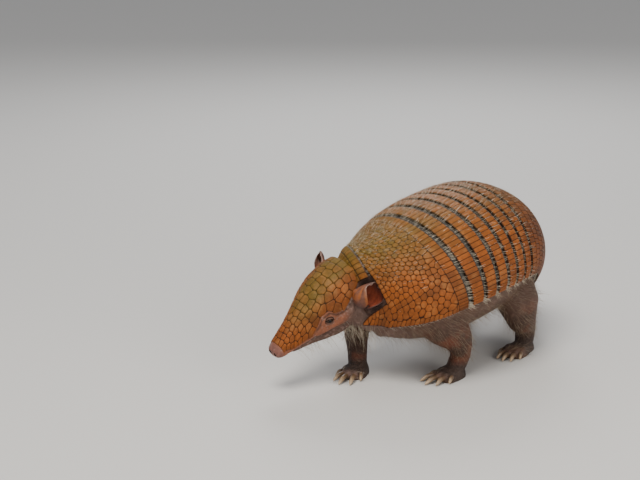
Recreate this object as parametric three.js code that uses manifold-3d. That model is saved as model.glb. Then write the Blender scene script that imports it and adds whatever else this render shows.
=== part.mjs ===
// A six-banded armadillo (Euphractus sexcinctus), life size, walking with its head low and turned a little to
// its right. Millimetres, +Z up, the head towards -Y and the animal's left towards +X. The floor is Z = 0.
//
// The carapace is a dome carried along the body's axis. A place on it is a distance along the axis, from the
// nape to the rump, and an angle from the ridge of the back: positive to the left, 90 degrees at the flank.
import * as THREE from "three";
import { mergeVertices } from "three/addons/utils/BufferGeometryUtils.js";
import Module from "manifold-3d";

const wasm = await Module();
wasm.setup();

// ---- Driving dimensions ------------------------------------------------------------------------------------

const GAP = 0.35; // between pieces that touch
const PLATE = 3; // thickness of the carapace's plates
const HEAD_PLATE = 2.4;
const HEAD_SQUARENESS = 0.88; // 1 makes the head's sections ellipses, less makes them squarer
const BED = PLATE + 0.7; // depth of the flesh under the carapace

// The body's axis. It passes AXIS_HEIGHT over the floor at AXIS_MIDDLE.
const AXIS_FRONT = -46;
const AXIS_REAR = 296;
const AXIS_MIDDLE = 92;
const AXIS_HEIGHT = 118;
// Its heading in degrees: how far it turns to the right going forward, and how steeply it climbs going back.
const AXIS = {
  along: [-46, 0, 18, 37, 55, 74, 92, 110, 129, 147, 166, 200, 240, 270, 300],
  turn: [32, 31, 23, 15.3, 8.6, 3.5, 0, -2.8, -4.8, -6, -6.4, -6.4, -7, -7.5, -8],
  climb: [34, 23, 23, 22, 18, 12.6, 8.3, 5.1, 3, 1, -3, -16, -32, -48, -62],
};

// The dome at stations along the axis: half width, rise to the ridge, and depth from the axis to the belly.
const DOME = {
  along: [-46, -20, 0, 18, 37, 55, 74, 100, 160, 195, 225, 250, 270, 286, 296],
  width: [37, 42, 59, 80, 91, 94, 97, 98.5, 96, 89, 76, 64, 53, 43, 35],
  rise: [60, 69, 76, 77, 79, 82, 85, 87, 89, 82, 73, 63.5, 52, 42, 34],
  belly: [26, 32, 41.5, 51, 58, 63, 66, 67, 66, 61, 54, 46, 37, 30, 26],
};
const FLANK_DROP = 54; // the dome's curve below its widest line
const MARGIN_ANGLE = 105; // where the carapace ends at the flank
const MARGIN_OVERHANG = 8;

const SCAPULAR_REAR = 58; // rear edge of the shoulder shield
const BANDS = 6;
const BAND_PITCH = 16.6; // from one movable band to the next
const BAND_LENGTH = 12.4;
const FIRST_BAND = SCAPULAR_REAR + BAND_PITCH - BAND_LENGTH;
const PELVIC_FRONT = FIRST_BAND + BANDS * BAND_PITCH;
const PELVIC_REAR = 288;
const NUCHAL = { front: -13.5, rear: -1, angle: 44 }; // the narrow band on the nape

// The head's own frame: origin on the crown behind the ears, +X left, +Y back, +Z up.
const CROWN = new THREE.Vector3(-34.3, -125.9, 130.2);
const HEAD_TURN = THREE.MathUtils.degToRad(-11.4);
const HEAD_PITCH = THREE.MathUtils.degToRad(28);
const HEAD_ROLL = THREE.MathUtils.degToRad(14.7);
// Stations from the nape to the nose: half width, top, level of the greatest width, and underside.
const HEAD = {
  along: [12, -5, -23, -42, -57, -74, -90, -104, -112, -115],
  width: [29.5, 33.6, 34, 30.5, 25.5, 19.3, 15.3, 12.7, 10.2, 7],
  top: [16, 17, 14.5, 9, 2.5, -5.5, -13.5, -20.5, -25.5, -28],
  middle: [-17, -18, -20, -22.5, -26, -29.5, -31.5, -32, -32.5, -32.5],
  under: [-47, -51, -50, -45.5, -42, -40, -39.5, -39, -38, -36.5],
};
const JAW = {
  along: [-6, -20, -34, -48, -63, -77, -90, -98],
  width: [23, 26, 24.5, 19.5, 15, 11.5, 9, 5],
  top: [-40, -42, -43, -42, -40, -39, -38.6, -39],
  middle: [-47, -49.5, -51, -50, -47.2, -44.6, -43, -42],
  under: [-53, -57, -58.5, -57.5, -54, -50, -47, -44.5],
};
// The head shield: how far round it reaches at stations from its rear edge to the nose.
const SHIELD = {
  along: [9, -8, -26, -37, -45, -52, -61, -72, -93, -107],
  angle: [56, 71, 81, 77, 62, 62, 76, 92, 96, 72],
};
const EYE = { centre: [26, -46, -20], radius: 5 };

// The ear: a leaf that rolls up towards its root. At heights from root to tip: the roll's radius at the back and
// at the front, and how far it wraps to the front and to the back, in degrees from its middle.
const EAR = {
  root: [39, -3, -22],
  tip: [48, 19, 5],
  faces: [0.75, -0.5, 0.42],
  wall: 1.7,
  height: [0, 0.12, 0.3, 0.5, 0.75, 0.92, 1],
  back: [9, 12, 14.5, 16, 14, 9, 4],
  front: [12.5, 15.5, 16.5, 13.5, 9.5, 6.5, 4],
  frontWrap: [190, 190, 182, 164, 128, 96, 84],
  backWrap: [146, 140, 122, 102, 90, 82, 78],
  // The right ear is laid back: shares of the left one's height, depth and front wrap.
  laidBack: { height: 0.88, depth: 0.66, wrap: 0.62 },
};

// Each leg runs from inside the trunk to its foot: joints, with half width and half depth at each. The foot
// stands on its heel's place and points its toes at a heading, 0 being straight ahead and positive to the left.
const LEGS = {
  foreleg_left: {
    joints: [[34, -62, 92], [52, -44, 72], [60, -24, 50], [58, -15, 28], [55, -19, 12]],
    wide: [22, 21, 16, 12, 11],
    deep: [26, 26, 19, 12.5, 11.5],
    heel: [55, -14],
    heading: -6,
    side: 1,
    foot: "fore",
  },
  foreleg_right: {
    joints: [[-46, -52, 92], [-55, -61, 68], [-53, -74, 46], [-44, -83, 26], [-39, -88, 12]],
    wide: [22, 20, 15, 12, 11],
    deep: [26, 24, 18, 12.5, 11.5],
    heel: [-38, -83],
    heading: 14,
    side: -1,
    foot: "fore",
  },
  hindleg_left: {
    joints: [[42, 112, 92], [56, 98, 70], [62, 100, 50], [58, 114, 30], [56, 116, 12]],
    wide: [26, 24, 18, 12.5, 11.5],
    deep: [38, 34, 24, 14, 12.5],
    heel: [56, 122],
    heading: 8,
    side: 1,
    foot: "hind",
  },
  hindleg_right: {
    joints: [[-58, 120, 92], [-70, 112, 70], [-76, 124, 50], [-72, 146, 30], [-70, 152, 12]],
    wide: [26, 24, 18, 12.5, 11.5],
    deep: [38, 34, 24, 14, 12.5],
    heel: [-70, 159],
    heading: -12,
    side: -1,
    foot: "hind",
  },
};
// A foot: half width and height at distances ahead of the heel; toes from the inner to the outer.
const FEET = {
  fore: {
    along: [-7, -4, 2, 10, 18, 26, 31],
    width: [4, 9, 12, 14, 15.5, 15, 11],
    height: [5, 14, 19, 18, 15, 12, 9],
    angles: [-34, -17, 0, 16, 34],
    reach: [27, 35, 37, 34, 27],
    thick: [4, 4.6, 4.8, 4.4, 3.8],
    claws: [11, 18, 19, 16, 10],
  },
  hind: {
    along: [-7, -3, 5, 15, 27, 38, 45],
    width: [4, 9, 11.5, 12.5, 14.5, 14.5, 11],
    height: [5, 13, 18, 17, 14, 11.5, 9],
    angles: [-22, -11, 0, 11, 22],
    reach: [41, 49, 51, 49, 41],
    thick: [4, 4.5, 4.7, 4.4, 3.8],
    claws: [9, 12, 13, 12, 9],
  },
};

// The tail: a curve from inside the rump down to the floor, its radius along the way, and where it is parted.
const TAIL = {
  path: [[-24, 172, 74], [-29, 204, 52], [-39, 235, 30], [-57, 267, 13.5], [-84, 296, 7], [-115, 318, 4.4]],
  radius: [24, 20.5, 16, 12, 8, 4],
  cuts: [0, 0.45, 0.72, 1],
};
// ---- Small tools -------------------------------------------------------------------------------------------

const v3 = (x, y, z) => new THREE.Vector3(x, y, z);
const radians = THREE.MathUtils.degToRad;
const smoothstep = THREE.MathUtils.smoothstep;

// A smooth curve through a table's stations that never overshoots them.
function profile(stations, values) {
  const rising = stations[0] < stations[stations.length - 1];
  const xs = rising ? stations : [...stations].reverse();
  const ys = rising ? values : [...values].reverse();
  const slope = (i) => (ys[i + 1] - ys[i]) / (xs[i + 1] - xs[i]);
  const tangents = xs.map((_, i) => {
    if (i === 0) return slope(0);
    if (i === xs.length - 1) return slope(i - 1);
    const before = slope(i - 1);
    const after = slope(i);
    return before * after <= 0 ? 0 : (2 * before * after) / (before + after);
  });
  return (x) => {
    const at = Math.min(Math.max(x, xs[0]), xs[xs.length - 1]);
    let i = 0;
    while (i < xs.length - 2 && at > xs[i + 1]) i += 1;
    const span = xs[i + 1] - xs[i];
    const t = (at - xs[i]) / span;
    const ease = t * t * (3 - 2 * t);
    const push = t * (1 - t) * span;
    return ys[i] + (ys[i + 1] - ys[i]) * ease + push * ((1 - t) * tangents[i] - t * tangents[i + 1]);
  };
}

function profiles(table) {
  const made = {};
  for (const key of Object.keys(table)) if (key !== "along") made[key] = profile(table.along, table[key]);
  return made;
}

const range = (count) => Array.from({ length: count }, (_, i) => i);
const spread = (from, to, count) => range(count).map((i) => from + ((to - from) * i) / (count - 1));

// A closed tube through rings of equal length, with flat ends.
function tube(rings) {
  const sides = rings[0].length;
  const points = rings.flat();
  const faces = [];
  for (let i = 0; i < rings.length - 1; i += 1) {
    for (let j = 0; j < sides; j += 1) {
      const a = i * sides + j;
      const b = i * sides + ((j + 1) % sides);
      faces.push(a, b, a + sides, b, b + sides, a + sides);
    }
  }
  const last = (rings.length - 1) * sides;
  for (const [start, flip] of [[0, true], [last, false]]) {
    const middle = points.length;
    const centre = v3(0, 0, 0);
    for (let j = 0; j < sides; j += 1) centre.addScaledVector(points[start + j], 1 / sides);
    points.push(centre);
    for (let j = 0; j < sides; j += 1) {
      const a = start + j;
      const b = start + ((j + 1) % sides);
      faces.push(...(flip ? [b, a, middle] : [a, b, middle]));
    }
  }
  return solid(points, faces);
}

// A closed plate between an outer and an inner sheet, each a grid of rows of points.
function plate(outer, inner) {
  const rows = outer.length;
  const across = outer[0].length;
  const points = [...outer.flat(), ...inner.flat()];
  const under = rows * across;
  const faces = [];
  const quad = (a, b, c, d) => {
    const straight = points[a].distanceTo(points[c]) <= points[b].distanceTo(points[d]);
    faces.push(...(straight ? [a, b, c, a, c, d] : [a, b, d, b, c, d]));
  };
  for (let i = 0; i < rows - 1; i += 1) {
    for (let j = 0; j < across - 1; j += 1) {
      const a = i * across + j;
      quad(a, a + 1, a + across + 1, a + across);
      quad(under + a, under + a + across, under + a + across + 1, under + a + 1);
    }
  }
  for (let j = 0; j < across - 1; j += 1) {
    const far = (rows - 1) * across + j;
    quad(under + j, under + j + 1, j + 1, j);
    quad(far, far + 1, under + far + 1, under + far);
  }
  for (let i = 0; i < rows - 1; i += 1) {
    const a = i * across;
    const b = a + across - 1;
    quad(a, a + across, under + a + across, under + a);
    quad(under + b, under + b + across, b + across, b);
  }
  return solid(points, faces);
}

// A manifold-3d solid from points and triangles, turned right side out.
function solid(points, faces) {
  const geometry = new THREE.BufferGeometry().setFromPoints(points).setIndex(faces);
  const merged = mergeVertices(geometry, 1e-4);
  const build = (triVerts) =>
    new wasm.Manifold(new wasm.Mesh({ numProp: 3, vertProperties: merged.attributes.position.array, triVerts }));
  const triVerts = new Uint32Array(merged.index.array);
  const made = build(triVerts);
  if (made.volume() > 0) return made;
  for (let i = 0; i < triVerts.length; i += 3) [triVerts[i], triVerts[i + 1]] = [triVerts[i + 1], triVerts[i]];
  return build(triVerts);
}

const less = (piece, ...others) => others.reduce((kept, other) => kept.subtract(other), piece);
const joined = (...pieces) => pieces.reduce((whole, piece) => whole.add(piece));
const mainBody = (piece) => piece.decompose().reduce((most, next) => (next.volume() > most.volume() ? next : most));

// Everything below this height is cut away, which leaves the flats that the feet and tail rest on.
function aboveFloor(piece) {
  const slab = new THREE.BoxGeometry(900, 1200, 100).translate(0, 0, -50).deleteAttribute("normal");
  const merged = mergeVertices(slab.deleteAttribute("uv"), 1e-4);
  const floor = new wasm.Manifold(
    new wasm.Mesh({
      numProp: 3,
      vertProperties: merged.attributes.position.array,
      triVerts: new Uint32Array(merged.index.array),
    }),
  );
  return piece.subtract(floor);
}

const armadillo = new THREE.Group();

// Adds a piece as a named mesh. Edges too short to see are taken out of it.
const SHORT_EDGE = 0.02;
function show(name, piece, material) {
  const { numProp, vertProperties, triVerts } = piece.simplify(SHORT_EDGE).getMesh();
  const places = new Float32Array((vertProperties.length / numProp) * 3);
  for (let i = 0; i < places.length / 3; i += 1) {
    places.set(vertProperties.subarray(i * numProp, i * numProp + 3), i * 3);
  }
  const geometry = new THREE.BufferGeometry();
  geometry.setAttribute("position", new THREE.BufferAttribute(places, 3));
  geometry.setIndex(new THREE.BufferAttribute(triVerts, 1));
  geometry.computeVertexNormals();
  const mesh = new THREE.Mesh(geometry, material);
  mesh.name = name;
  armadillo.add(mesh);
}

const material = (color, roughness) => new THREE.MeshStandardMaterial({ color, roughness, metalness: 0 });
const SCUTE = material(0xa3632f, 0.55);
const SKIN = material(0x7a4f3c, 0.75);
const DARK_SKIN = material(0x4a3f38, 0.8);
const EYEBALL = material(0x120c09, 0.08);

// ---- The body's axis and the dome --------------------------------------------------------------------------

const dome = profiles(DOME);
const axis = profiles(AXIS);
const axisPitch = (a) => radians(axis.climb(a));
const axisTurn = (a) => radians(axis.turn(a));

function axisFrame(a) {
  const pitch = axisPitch(a);
  const turn = axisTurn(a);
  const back = v3(Math.sin(turn) * Math.cos(pitch), Math.cos(turn) * Math.cos(pitch), Math.sin(pitch));
  const left = v3(Math.cos(turn), -Math.sin(turn), 0);
  return { back, left, up: v3(0, 0, 0).crossVectors(left, back) };
}

const AXIS_STEP = 1;
const axisLine = (() => {
  const line = [v3(0, 0, 0)];
  for (let a = AXIS_FRONT; a < AXIS_REAR; a += AXIS_STEP) {
    line.push(line[line.length - 1].clone().addScaledVector(axisFrame(a + AXIS_STEP / 2).back, AXIS_STEP));
  }
  const shift = v3(0, 0, AXIS_HEIGHT).sub(line[(AXIS_MIDDLE - AXIS_FRONT) / AXIS_STEP]);
  return line.map((p) => p.add(shift));
})();

function axisPoint(a) {
  const place = (Math.min(Math.max(a, AXIS_FRONT), AXIS_REAR) - AXIS_FRONT) / AXIS_STEP;
  const i = Math.min(Math.floor(place), axisLine.length - 2);
  return axisLine[i].clone().lerp(axisLine[i + 1], place - i);
}

function onAxis(a, side, rise) {
  const { left, up } = axisFrame(a);
  return axisPoint(a).addScaledVector(left, side).addScaledVector(up, rise);
}

function onDome(a, degrees, depth) {
  const angle = radians(degrees);
  const below = Math.cos(angle) < 0;
  const drop = Math.min(FLANK_DROP, dome.rise(a)) - depth;
  const rise = (below ? drop : dome.rise(a) - depth) * Math.cos(angle);
  return onAxis(a, (dome.width(a) - depth) * Math.sin(angle), rise);
}

// ---- Carapace ----------------------------------------------------------------------------------------------

const ROUND = spread(-1, 1, 21); // shares of the angle across the back

// The plate from one edge to the other. The edges are functions of the angle from the ridge.
function domePlate(front, rear, angle, rows, thickness = PLATE, grow = 0) {
  const sheet = (depth) =>
    spread(0, 1, rows).map((t) =>
      ROUND.map((share) => {
        const degrees = share * (angle + grow * 0.7);
        const from = front(degrees) - grow;
        const to = rear(degrees) + grow;
        return onDome(from + (to - from) * t, degrees, depth);
      }),
    );
  return plate(sheet(-grow), sheet(thickness + grow));
}

// The shoulder shield's front edge: straight over the nape, notched for the ear, then forward under it.
function scapularFront(degrees) {
  const away = Math.abs(degrees);
  return 1.5 + 2 * smoothstep(away, 38, 56) - 31.5 * smoothstep(away, 75, 93) + 24 * smoothstep(away, 90, 106);
}

const scapular = (grow) =>
  domePlate(scapularFront, () => SCAPULAR_REAR, MARGIN_ANGLE, 7, PLATE, grow);
const pelvic = (grow) => domePlate(() => PELVIC_FRONT, () => PELVIC_REAR, MARGIN_ANGLE, 9, PLATE, grow);
const nuchal = (grow) =>
  domePlate(() => NUCHAL.front, () => NUCHAL.rear, NUCHAL.angle, 2, PLATE, grow);
const band = (index, grow) => {
  const front = FIRST_BAND + index * BAND_PITCH;
  return domePlate(() => front, () => front + BAND_LENGTH, MARGIN_ANGLE, 2, PLATE, grow);
};

show("scapular_shield", scapular(0), SCUTE);
range(BANDS).forEach((i) => show(`band_${i + 1}`, band(i, 0), SCUTE));
show("pelvic_shield", pelvic(0), SCUTE);

// ---- Trunk -------------------------------------------------------------------------------------------------

const TRUNK_FRONT = -13;
const EAR_HOLLOW = 14; // behind the ears, under the front of the shoulder shield
const TRUNK_REAR = 290;

// How far round the sides the hollow for the ear has its full depth.
function earBand(degrees) {
  const away = Math.abs(degrees);
  return smoothstep(away, 34, 54) * (1 - smoothstep(away, 82, 102));
}

// A ring of the trunk: the dome's bed over the back, then the flanks and belly below the margin.
function trunkRing(a, grow) {
  const depth = BED - grow;
  const hollow = (degrees) => EAR_HOLLOW * (1 - smoothstep(a, -5, 16)) * earBand(degrees);
  const upper = ROUND.map((share) => share * MARGIN_ANGLE).map((d) => onDome(a, d, depth + hollow(d)));
  const angle = radians(MARGIN_ANGLE);
  const drop = Math.min(FLANK_DROP, dome.rise(a)) - depth;
  const edgeRise = drop * Math.cos(angle);
  const halfWidth = (dome.width(a) - depth) * Math.sin(angle) - MARGIN_OVERHANG;
  const lower = spread(0, 180, 9).map((degrees) => {
    const t = radians(degrees);
    const side = halfWidth * Math.sign(Math.cos(t)) * Math.abs(Math.cos(t)) ** 0.75;
    return onAxis(a, side, edgeRise - 1 - (dome.belly(a) + grow + edgeRise) * Math.sin(t));
  });
  return [...upper, ...lower];
}

const TRUNK_STATIONS = [
  ...spread(TRUNK_FRONT, SCAPULAR_REAR, 8),
  ...range(BANDS).flatMap((i) => [FIRST_BAND + i * BAND_PITCH, FIRST_BAND + i * BAND_PITCH + BAND_LENGTH]),
  ...spread(PELVIC_FRONT, TRUNK_REAR, 9),
];
// How the flesh rounds off before and behind those stations: place, and how far in from its full section.
const CHEST = [[-16, 9], [-14.5, 3.5]];
const RUMP = [[293, 4], [296, 10]];
const trunkBody = (grow) => {
  const rounded = (ends) => ends.map(([a, inside]) => trunkRing(a, grow - inside));
  return tube([...rounded(CHEST), ...TRUNK_STATIONS.map((a) => trunkRing(a, grow)), ...rounded(RUMP)]);
};

// ---- Head --------------------------------------------------------------------------------------------------

const headTurn = new THREE.Matrix4()
  .makeTranslation(CROWN)
  .multiply(new THREE.Matrix4().makeRotationZ(HEAD_TURN))
  .multiply(new THREE.Matrix4().makeRotationX(HEAD_PITCH))
  .multiply(new THREE.Matrix4().makeRotationY(HEAD_ROLL));
const onHead = (x, y, z) => v3(x, y, z).applyMatrix4(headTurn);

// A point on the outline of a head or jaw section, at an angle from the top.
function faceOutline(shape, along, degrees, depth) {
  const angle = radians(degrees);
  const middle = shape.middle(along);
  const above = Math.cos(angle) > 0;
  const reach = above ? shape.top(along) - middle - depth : middle - shape.under(along) - depth;
  const squared = (value) => Math.sign(value) * Math.abs(value) ** HEAD_SQUARENESS;
  return [(shape.width(along) - depth) * squared(Math.sin(angle)), middle + reach * squared(Math.cos(angle))];
}

const headShape = profiles(HEAD);
const jawShape = profiles(JAW);

function faceTube(shape, stations, sides, depth) {
  const rings = stations.map((along) =>
    spread(0, 360, sides + 1).slice(0, -1).map((degrees) => {
      const [x, z] = faceOutline(shape, along, degrees, depth(along));
      return onHead(x, along, z);
    }),
  );
  return tube(rings);
}

const shieldReach = profile(SHIELD.along, SHIELD.angle);
const SHIELD_REAR = SHIELD.along[0];
const SHIELD_TIP = SHIELD.along[SHIELD.along.length - 1];

function shieldPlate(grow) {
  const stations = [SHIELD_REAR + grow, -7, -19, -31, -42, -52, -62, -74, -86, -97, SHIELD_TIP - grow];
  const sheet = (depth) =>
    stations.map((along) =>
      spread(-1, 1, 13).map((share) => {
        const degrees = share * (shieldReach(along) + 2 * grow);
        const [x, z] = faceOutline(headShape, along, degrees, depth);
        return onHead(x, along, z);
      }),
    );
  return plate(sheet(-grow), sheet(HEAD_PLATE + grow));
}

const HEAD_STATIONS = [12, 3, -8, -20, -32, -42, -52, -62, -74, -86, -97, -106, -112, -115];

function ball(centre, radius, widthSegments, heightSegments) {
  const sphere = new THREE.SphereGeometry(radius, widthSegments, heightSegments);
  sphere.deleteAttribute("normal").deleteAttribute("uv");
  const merged = mergeVertices(sphere.translate(centre.x, centre.y, centre.z), 1e-4);
  return new wasm.Manifold(
    new wasm.Mesh({
      numProp: 3,
      vertProperties: merged.attributes.position.array,
      triVerts: new Uint32Array(merged.index.array),
    }),
  );
}

const SIDES = { left: 1, right: -1 };
const eyeCentre = (side) => onHead(side * EYE.centre[0], EYE.centre[1], EYE.centre[2]);
const eyeball = (side, grow) => ball(eyeCentre(side), EYE.radius + grow, 10, 7);

const earShape = Object.fromEntries(
  ["back", "front", "frontWrap", "backWrap"].map((key) => [key, profile(EAR.height, EAR[key])]),
);

// The pinna, open forwards and outwards, its front edge folded over the opening.
function pinna(side, grow) {
  const root = v3(...EAR.root);
  const pose = side < 0 ? EAR.laidBack : { height: 1, depth: 1, wrap: 1 };
  const rise = v3(...EAR.tip).sub(root).multiplyScalar(pose.height);
  const across = v3(0, 0, 0).crossVectors(rise, v3(...EAR.faces)).normalize();
  const out = v3(0, 0, 0).crossVectors(across, rise).normalize();
  const sheet = (depth) =>
    [0, 0.12, 0.3, 0.5, 0.7, 0.87, 1].map((t) =>
      spread(-1, 1, 11).map((share) => {
        const wrap = share < 0 ? earShape.frontWrap(t) * pose.wrap : earShape.backWrap(t);
        const angle = share * radians(wrap + grow * 3);
        const atFront = THREE.MathUtils.smoothstep(-Math.sin(angle), -0.5, 0.5);
        const radius = earShape.back(t) + (earShape.front(t) - earShape.back(t)) * atFront;
        const wide = radius * (1.12 - 0.1 * t);
        const deep = radius * (0.64 - 0.2 * t) * pose.depth;
        const outward = v3(0, 0, 0)
          .addScaledVector(across, Math.sin(angle) * deep)
          .addScaledVector(out, -Math.cos(angle) * wide)
          .normalize();
        const height = 0.9 * t - 0.02 + (t - 0.5) * grow * 0.05 - 0.13 * Math.max(t - 0.6, 0) * 2.5 * share * share;
        const point = root
          .clone()
          .addScaledVector(rise, height)
          .addScaledVector(across, Math.sin(angle) * wide)
          .addScaledVector(out, -Math.cos(angle) * deep + 3 * t)
          .addScaledVector(outward, depth);
        return onHead(side * point.x, point.y, point.z);
      }),
    );
  return plate(sheet(EAR.wall / 2 + grow), sheet(-EAR.wall / 2 - grow));
}

const underShield = (grow) => (along) => {
  const covered = along < SHIELD_REAR + 8 && along > SHIELD_TIP - 3;
  return covered ? 1 - grow : -grow;
};
const headBody = (grow) => faceTube(headShape, HEAD_STATIONS, 20, underShield(grow));
const jawBody = (grow) => faceTube(jawShape, [-6, -18, -30, -42, -56, -70, -84, -94, -98], 12, () => -grow);

// ---- Neck --------------------------------------------------------------------------------------------------

const THROAT_SAG = 4; // how far loose skin hangs between the jaw and the chest
function neckBody() {
  const turns = spread(0, 360, 21).slice(0, -1);
  const hollow = (degrees) => earBand(180 - Math.abs(180 - degrees));
  const trunkSection = (a, depth) =>
    turns.map((degrees) => {
      const angle = radians(degrees);
      const up = Math.cos(angle) > 0 ? dome.rise(a) : dome.belly(a);
      const inside = depth + EAR_HOLLOW * hollow(degrees);
      return onAxis(a, (dome.width(a) - inside) * Math.sin(angle), (up - depth) * Math.cos(angle));
    });
  const headSection = (nape, throat, depth) =>
    turns.map((degrees) => {
      const along = nape + ((throat - nape) * (1 - Math.cos(radians(degrees)))) / 2;
      const [x, z] = faceOutline(headShape, along, degrees, depth + 4 * hollow(degrees));
      return onHead(x, along, z);
    });
  const rear = trunkSection(-11, BED + 0.5);
  const front = headSection(8, -24, 0.5);
  const sag = (t, degrees) => -THROAT_SAG * Math.sin(Math.PI * t) * (1 - Math.cos(radians(degrees))) * 0.5;
  const between = (t) =>
    rear.map((point, i) => point.clone().lerp(front[i], t).add(v3(0, 0, sag(t, turns[i]))));
  const skin = [rear, between(0.25), between(0.5), between(0.75), front];
  return tube([trunkSection(8, BED + 10), ...skin, headSection(0, -34, 7)]);
}

// ---- Legs, feet and claws ----------------------------------------------------------------------------------

// A limb along a curve. Its rings lie square to the curve, half width towards `side` and half depth across it.
function limb(path, wide, deep, side, sides, from = 0, to = 1, steps = 9) {
  const curve = new THREE.CatmullRomCurve3(path.map((p) => v3(...p)), false, "centripetal");
  const shares = spread(0, 1, path.length);
  const wideAt = profile(shares, wide);
  const deepAt = profile(shares, deep);
  const rings = spread(from, to, steps).map((t) => {
    const centre = curve.getPoint(t);
    const along = curve.getTangent(t);
    const across = side.clone().addScaledVector(along, -side.dot(along)).normalize();
    const other = v3(0, 0, 0).crossVectors(along, across);
    return spread(0, 360, sides + 1).slice(0, -1).map((degrees) => {
      const angle = radians(degrees);
      return centre
        .clone()
        .addScaledVector(across, wideAt(t) * Math.cos(angle))
        .addScaledVector(other, deepAt(t) * Math.sin(angle));
    });
  });
  return tube(rings);
}

function footPlan(leg) {
  const turn = radians(leg.heading);
  const ahead = v3(Math.sin(turn), -Math.cos(turn), 0);
  const left = v3(Math.cos(turn), Math.sin(turn), 0);
  const at = (forward, side, z) =>
    v3(leg.heel[0], leg.heel[1], z).addScaledVector(ahead, forward).addScaledVector(left, side);
  return { at, left, shape: FEET[leg.foot] };
}

// Where a toe starts, bends and ends, and where its claw goes on to the floor.
function toeLine(leg, index) {
  const { at, shape } = footPlan(leg);
  const turn = radians(shape.angles[index]) * leg.side;
  const reach = shape.reach[index];
  const claw = shape.claws[index];
  const root = reach * 0.45;
  const place = (distance, z) => {
    const out = distance - root;
    const side = root * Math.sin(turn) * 0.9 + out * Math.sin(turn * 0.75);
    return at(root * Math.cos(turn) + out * Math.cos(turn * 0.75), side, z).toArray();
  };
  const thick = shape.thick[index];
  return {
    toe: [place(root - 3, 5), place(reach * 0.78, 6.6), place(reach, 4.6)],
    claw: [place(reach - 4, 5), place(reach + claw * 0.35, 5.4), place(reach + claw * 0.8, 3), place(reach + claw, 1.5)],
    thick,
  };
}

function footBody(leg, grow) {
  const { at, left, shape } = footPlan(leg);
  const wide = profile(shape.along, shape.width);
  const high = profile(shape.along, shape.height);
  const rings = shape.along.map((forward) =>
    spread(0, 360, 13).slice(0, -1).map((degrees) => {
      const angle = radians(degrees);
      const lift = Math.cos(angle) > 0 ? high(forward) + grow : 3;
      return at(forward + grow * Math.sign(forward - 8), (wide(forward) + grow) * Math.sin(angle), lift * Math.cos(angle));
    }),
  );
  const toes = range(5).map((index) => {
    const { toe, thick } = toeLine(leg, index);
    const wider = [thick * 1.15 + grow, thick * 1.05 + grow, thick * 0.72 + grow];
    const higher = [6 + grow, 5.4 + grow, 4.4 + grow];
    return limb(toe, wider, higher, left, 6, 0, 1, 3);
  });
  return joined(tube(rings), ...toes);
}

function legBody(leg) {
  const side = footPlan(leg).left;
  return limb(leg.joints, leg.wide, leg.deep, side, 12, 0, 1, 7);
}

function clawBody(leg, index) {
  const { left } = footPlan(leg);
  const { claw, thick } = toeLine(leg, index);
  return limb(claw, [thick * 0.62, thick * 0.56, thick * 0.4, 0.5], [3.2, 2.9, 1.9, 0.5], left, 5, 0, 1, 4);
}

// ---- Tail --------------------------------------------------------------------------------------------------

const TAIL_SPAN = 210;
function tailLength(from, to) {
  const trim = GAP / TAIL_SPAN;
  const first = from === 0 ? 0 : from + trim;
  const round = TAIL.radius;
  return limb(TAIL.path, round, round, v3(1, 0, 0), 12, first, to, 6);
}

// ---- Put together ------------------------------------------------------------------------------------------

const shells = (grow) => [
  scapular(grow),
  pelvic(grow),
  nuchal(grow),
  ...range(BANDS).map((i) => band(i, grow)),
];
const allShells = [...shells(GAP), ...shells(0)];
const eyes = (grow) => [eyeball(1, grow), eyeball(-1, grow)];

const ears = Object.values(SIDES).map((side) => pinna(side, 2 * GAP));
const earRooms = ears.map((ear) => ear.hull()); // with the room inside the cup
const trunk = less(trunkBody(0), scapular(GAP), nuchal(GAP), headBody(GAP), shieldPlate(GAP), ...earRooms);
const head = less(headBody(0), shieldPlate(GAP), ...eyes(GAP), ...ears);
const jaw = less(jawBody(0), headBody(GAP));
const plates = [...allShells, shieldPlate(GAP)];
const neck = mainBody(less(neckBody(), trunkBody(GAP), headBody(GAP), jawBody(GAP), ...plates, ...earRooms));

show("nuchal_band", less(nuchal(0), headBody(GAP), shieldPlate(GAP)), SCUTE);
show("trunk", trunk, SKIN);
show("neck", neck, SKIN);
show("head", head, SKIN);
show("lower_jaw", jaw, SKIN);
show("head_shield", less(shieldPlate(0), ...eyes(GAP), ...ears), SCUTE);
for (const [name, side] of Object.entries(SIDES)) {
  show(`ear_${name}`, mainBody(less(pinna(side, 0), ...allShells)), SKIN);
  show(`eye_${name}`, eyeball(side, 0), EYEBALL);
}

for (const [name, leg] of Object.entries(LEGS)) {
  const others = [trunkBody(GAP), headBody(GAP), jawBody(GAP), neckBody()];
  const claws = range(5).map((index) => clawBody(leg, index));
  const whole = less(joined(legBody(leg), footBody(leg, 0), ...claws), ...others, ...allShells);
  show(name, mainBody(aboveFloor(whole)), DARK_SKIN);
}

const tailNames = ["tail_base", "tail_middle", "tail_tip"];
tailNames.forEach((name, i) => {
  const length = tailLength(TAIL.cuts[i], TAIL.cuts[i + 1]);
  show(name, aboveFloor(less(length, trunkBody(GAP), ...allShells)), DARK_SKIN);
});

// The origin goes to the middle of the footprint of the whole animal, on the floor.
const box = new THREE.Box3().setFromObject(armadillo, true);
const middle = box.getCenter(v3(0, 0, 0));
armadillo.children.forEach((mesh) => mesh.geometry.translate(-middle.x, -middle.y, -box.min.z));

export default armadillo;
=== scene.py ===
import math

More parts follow.
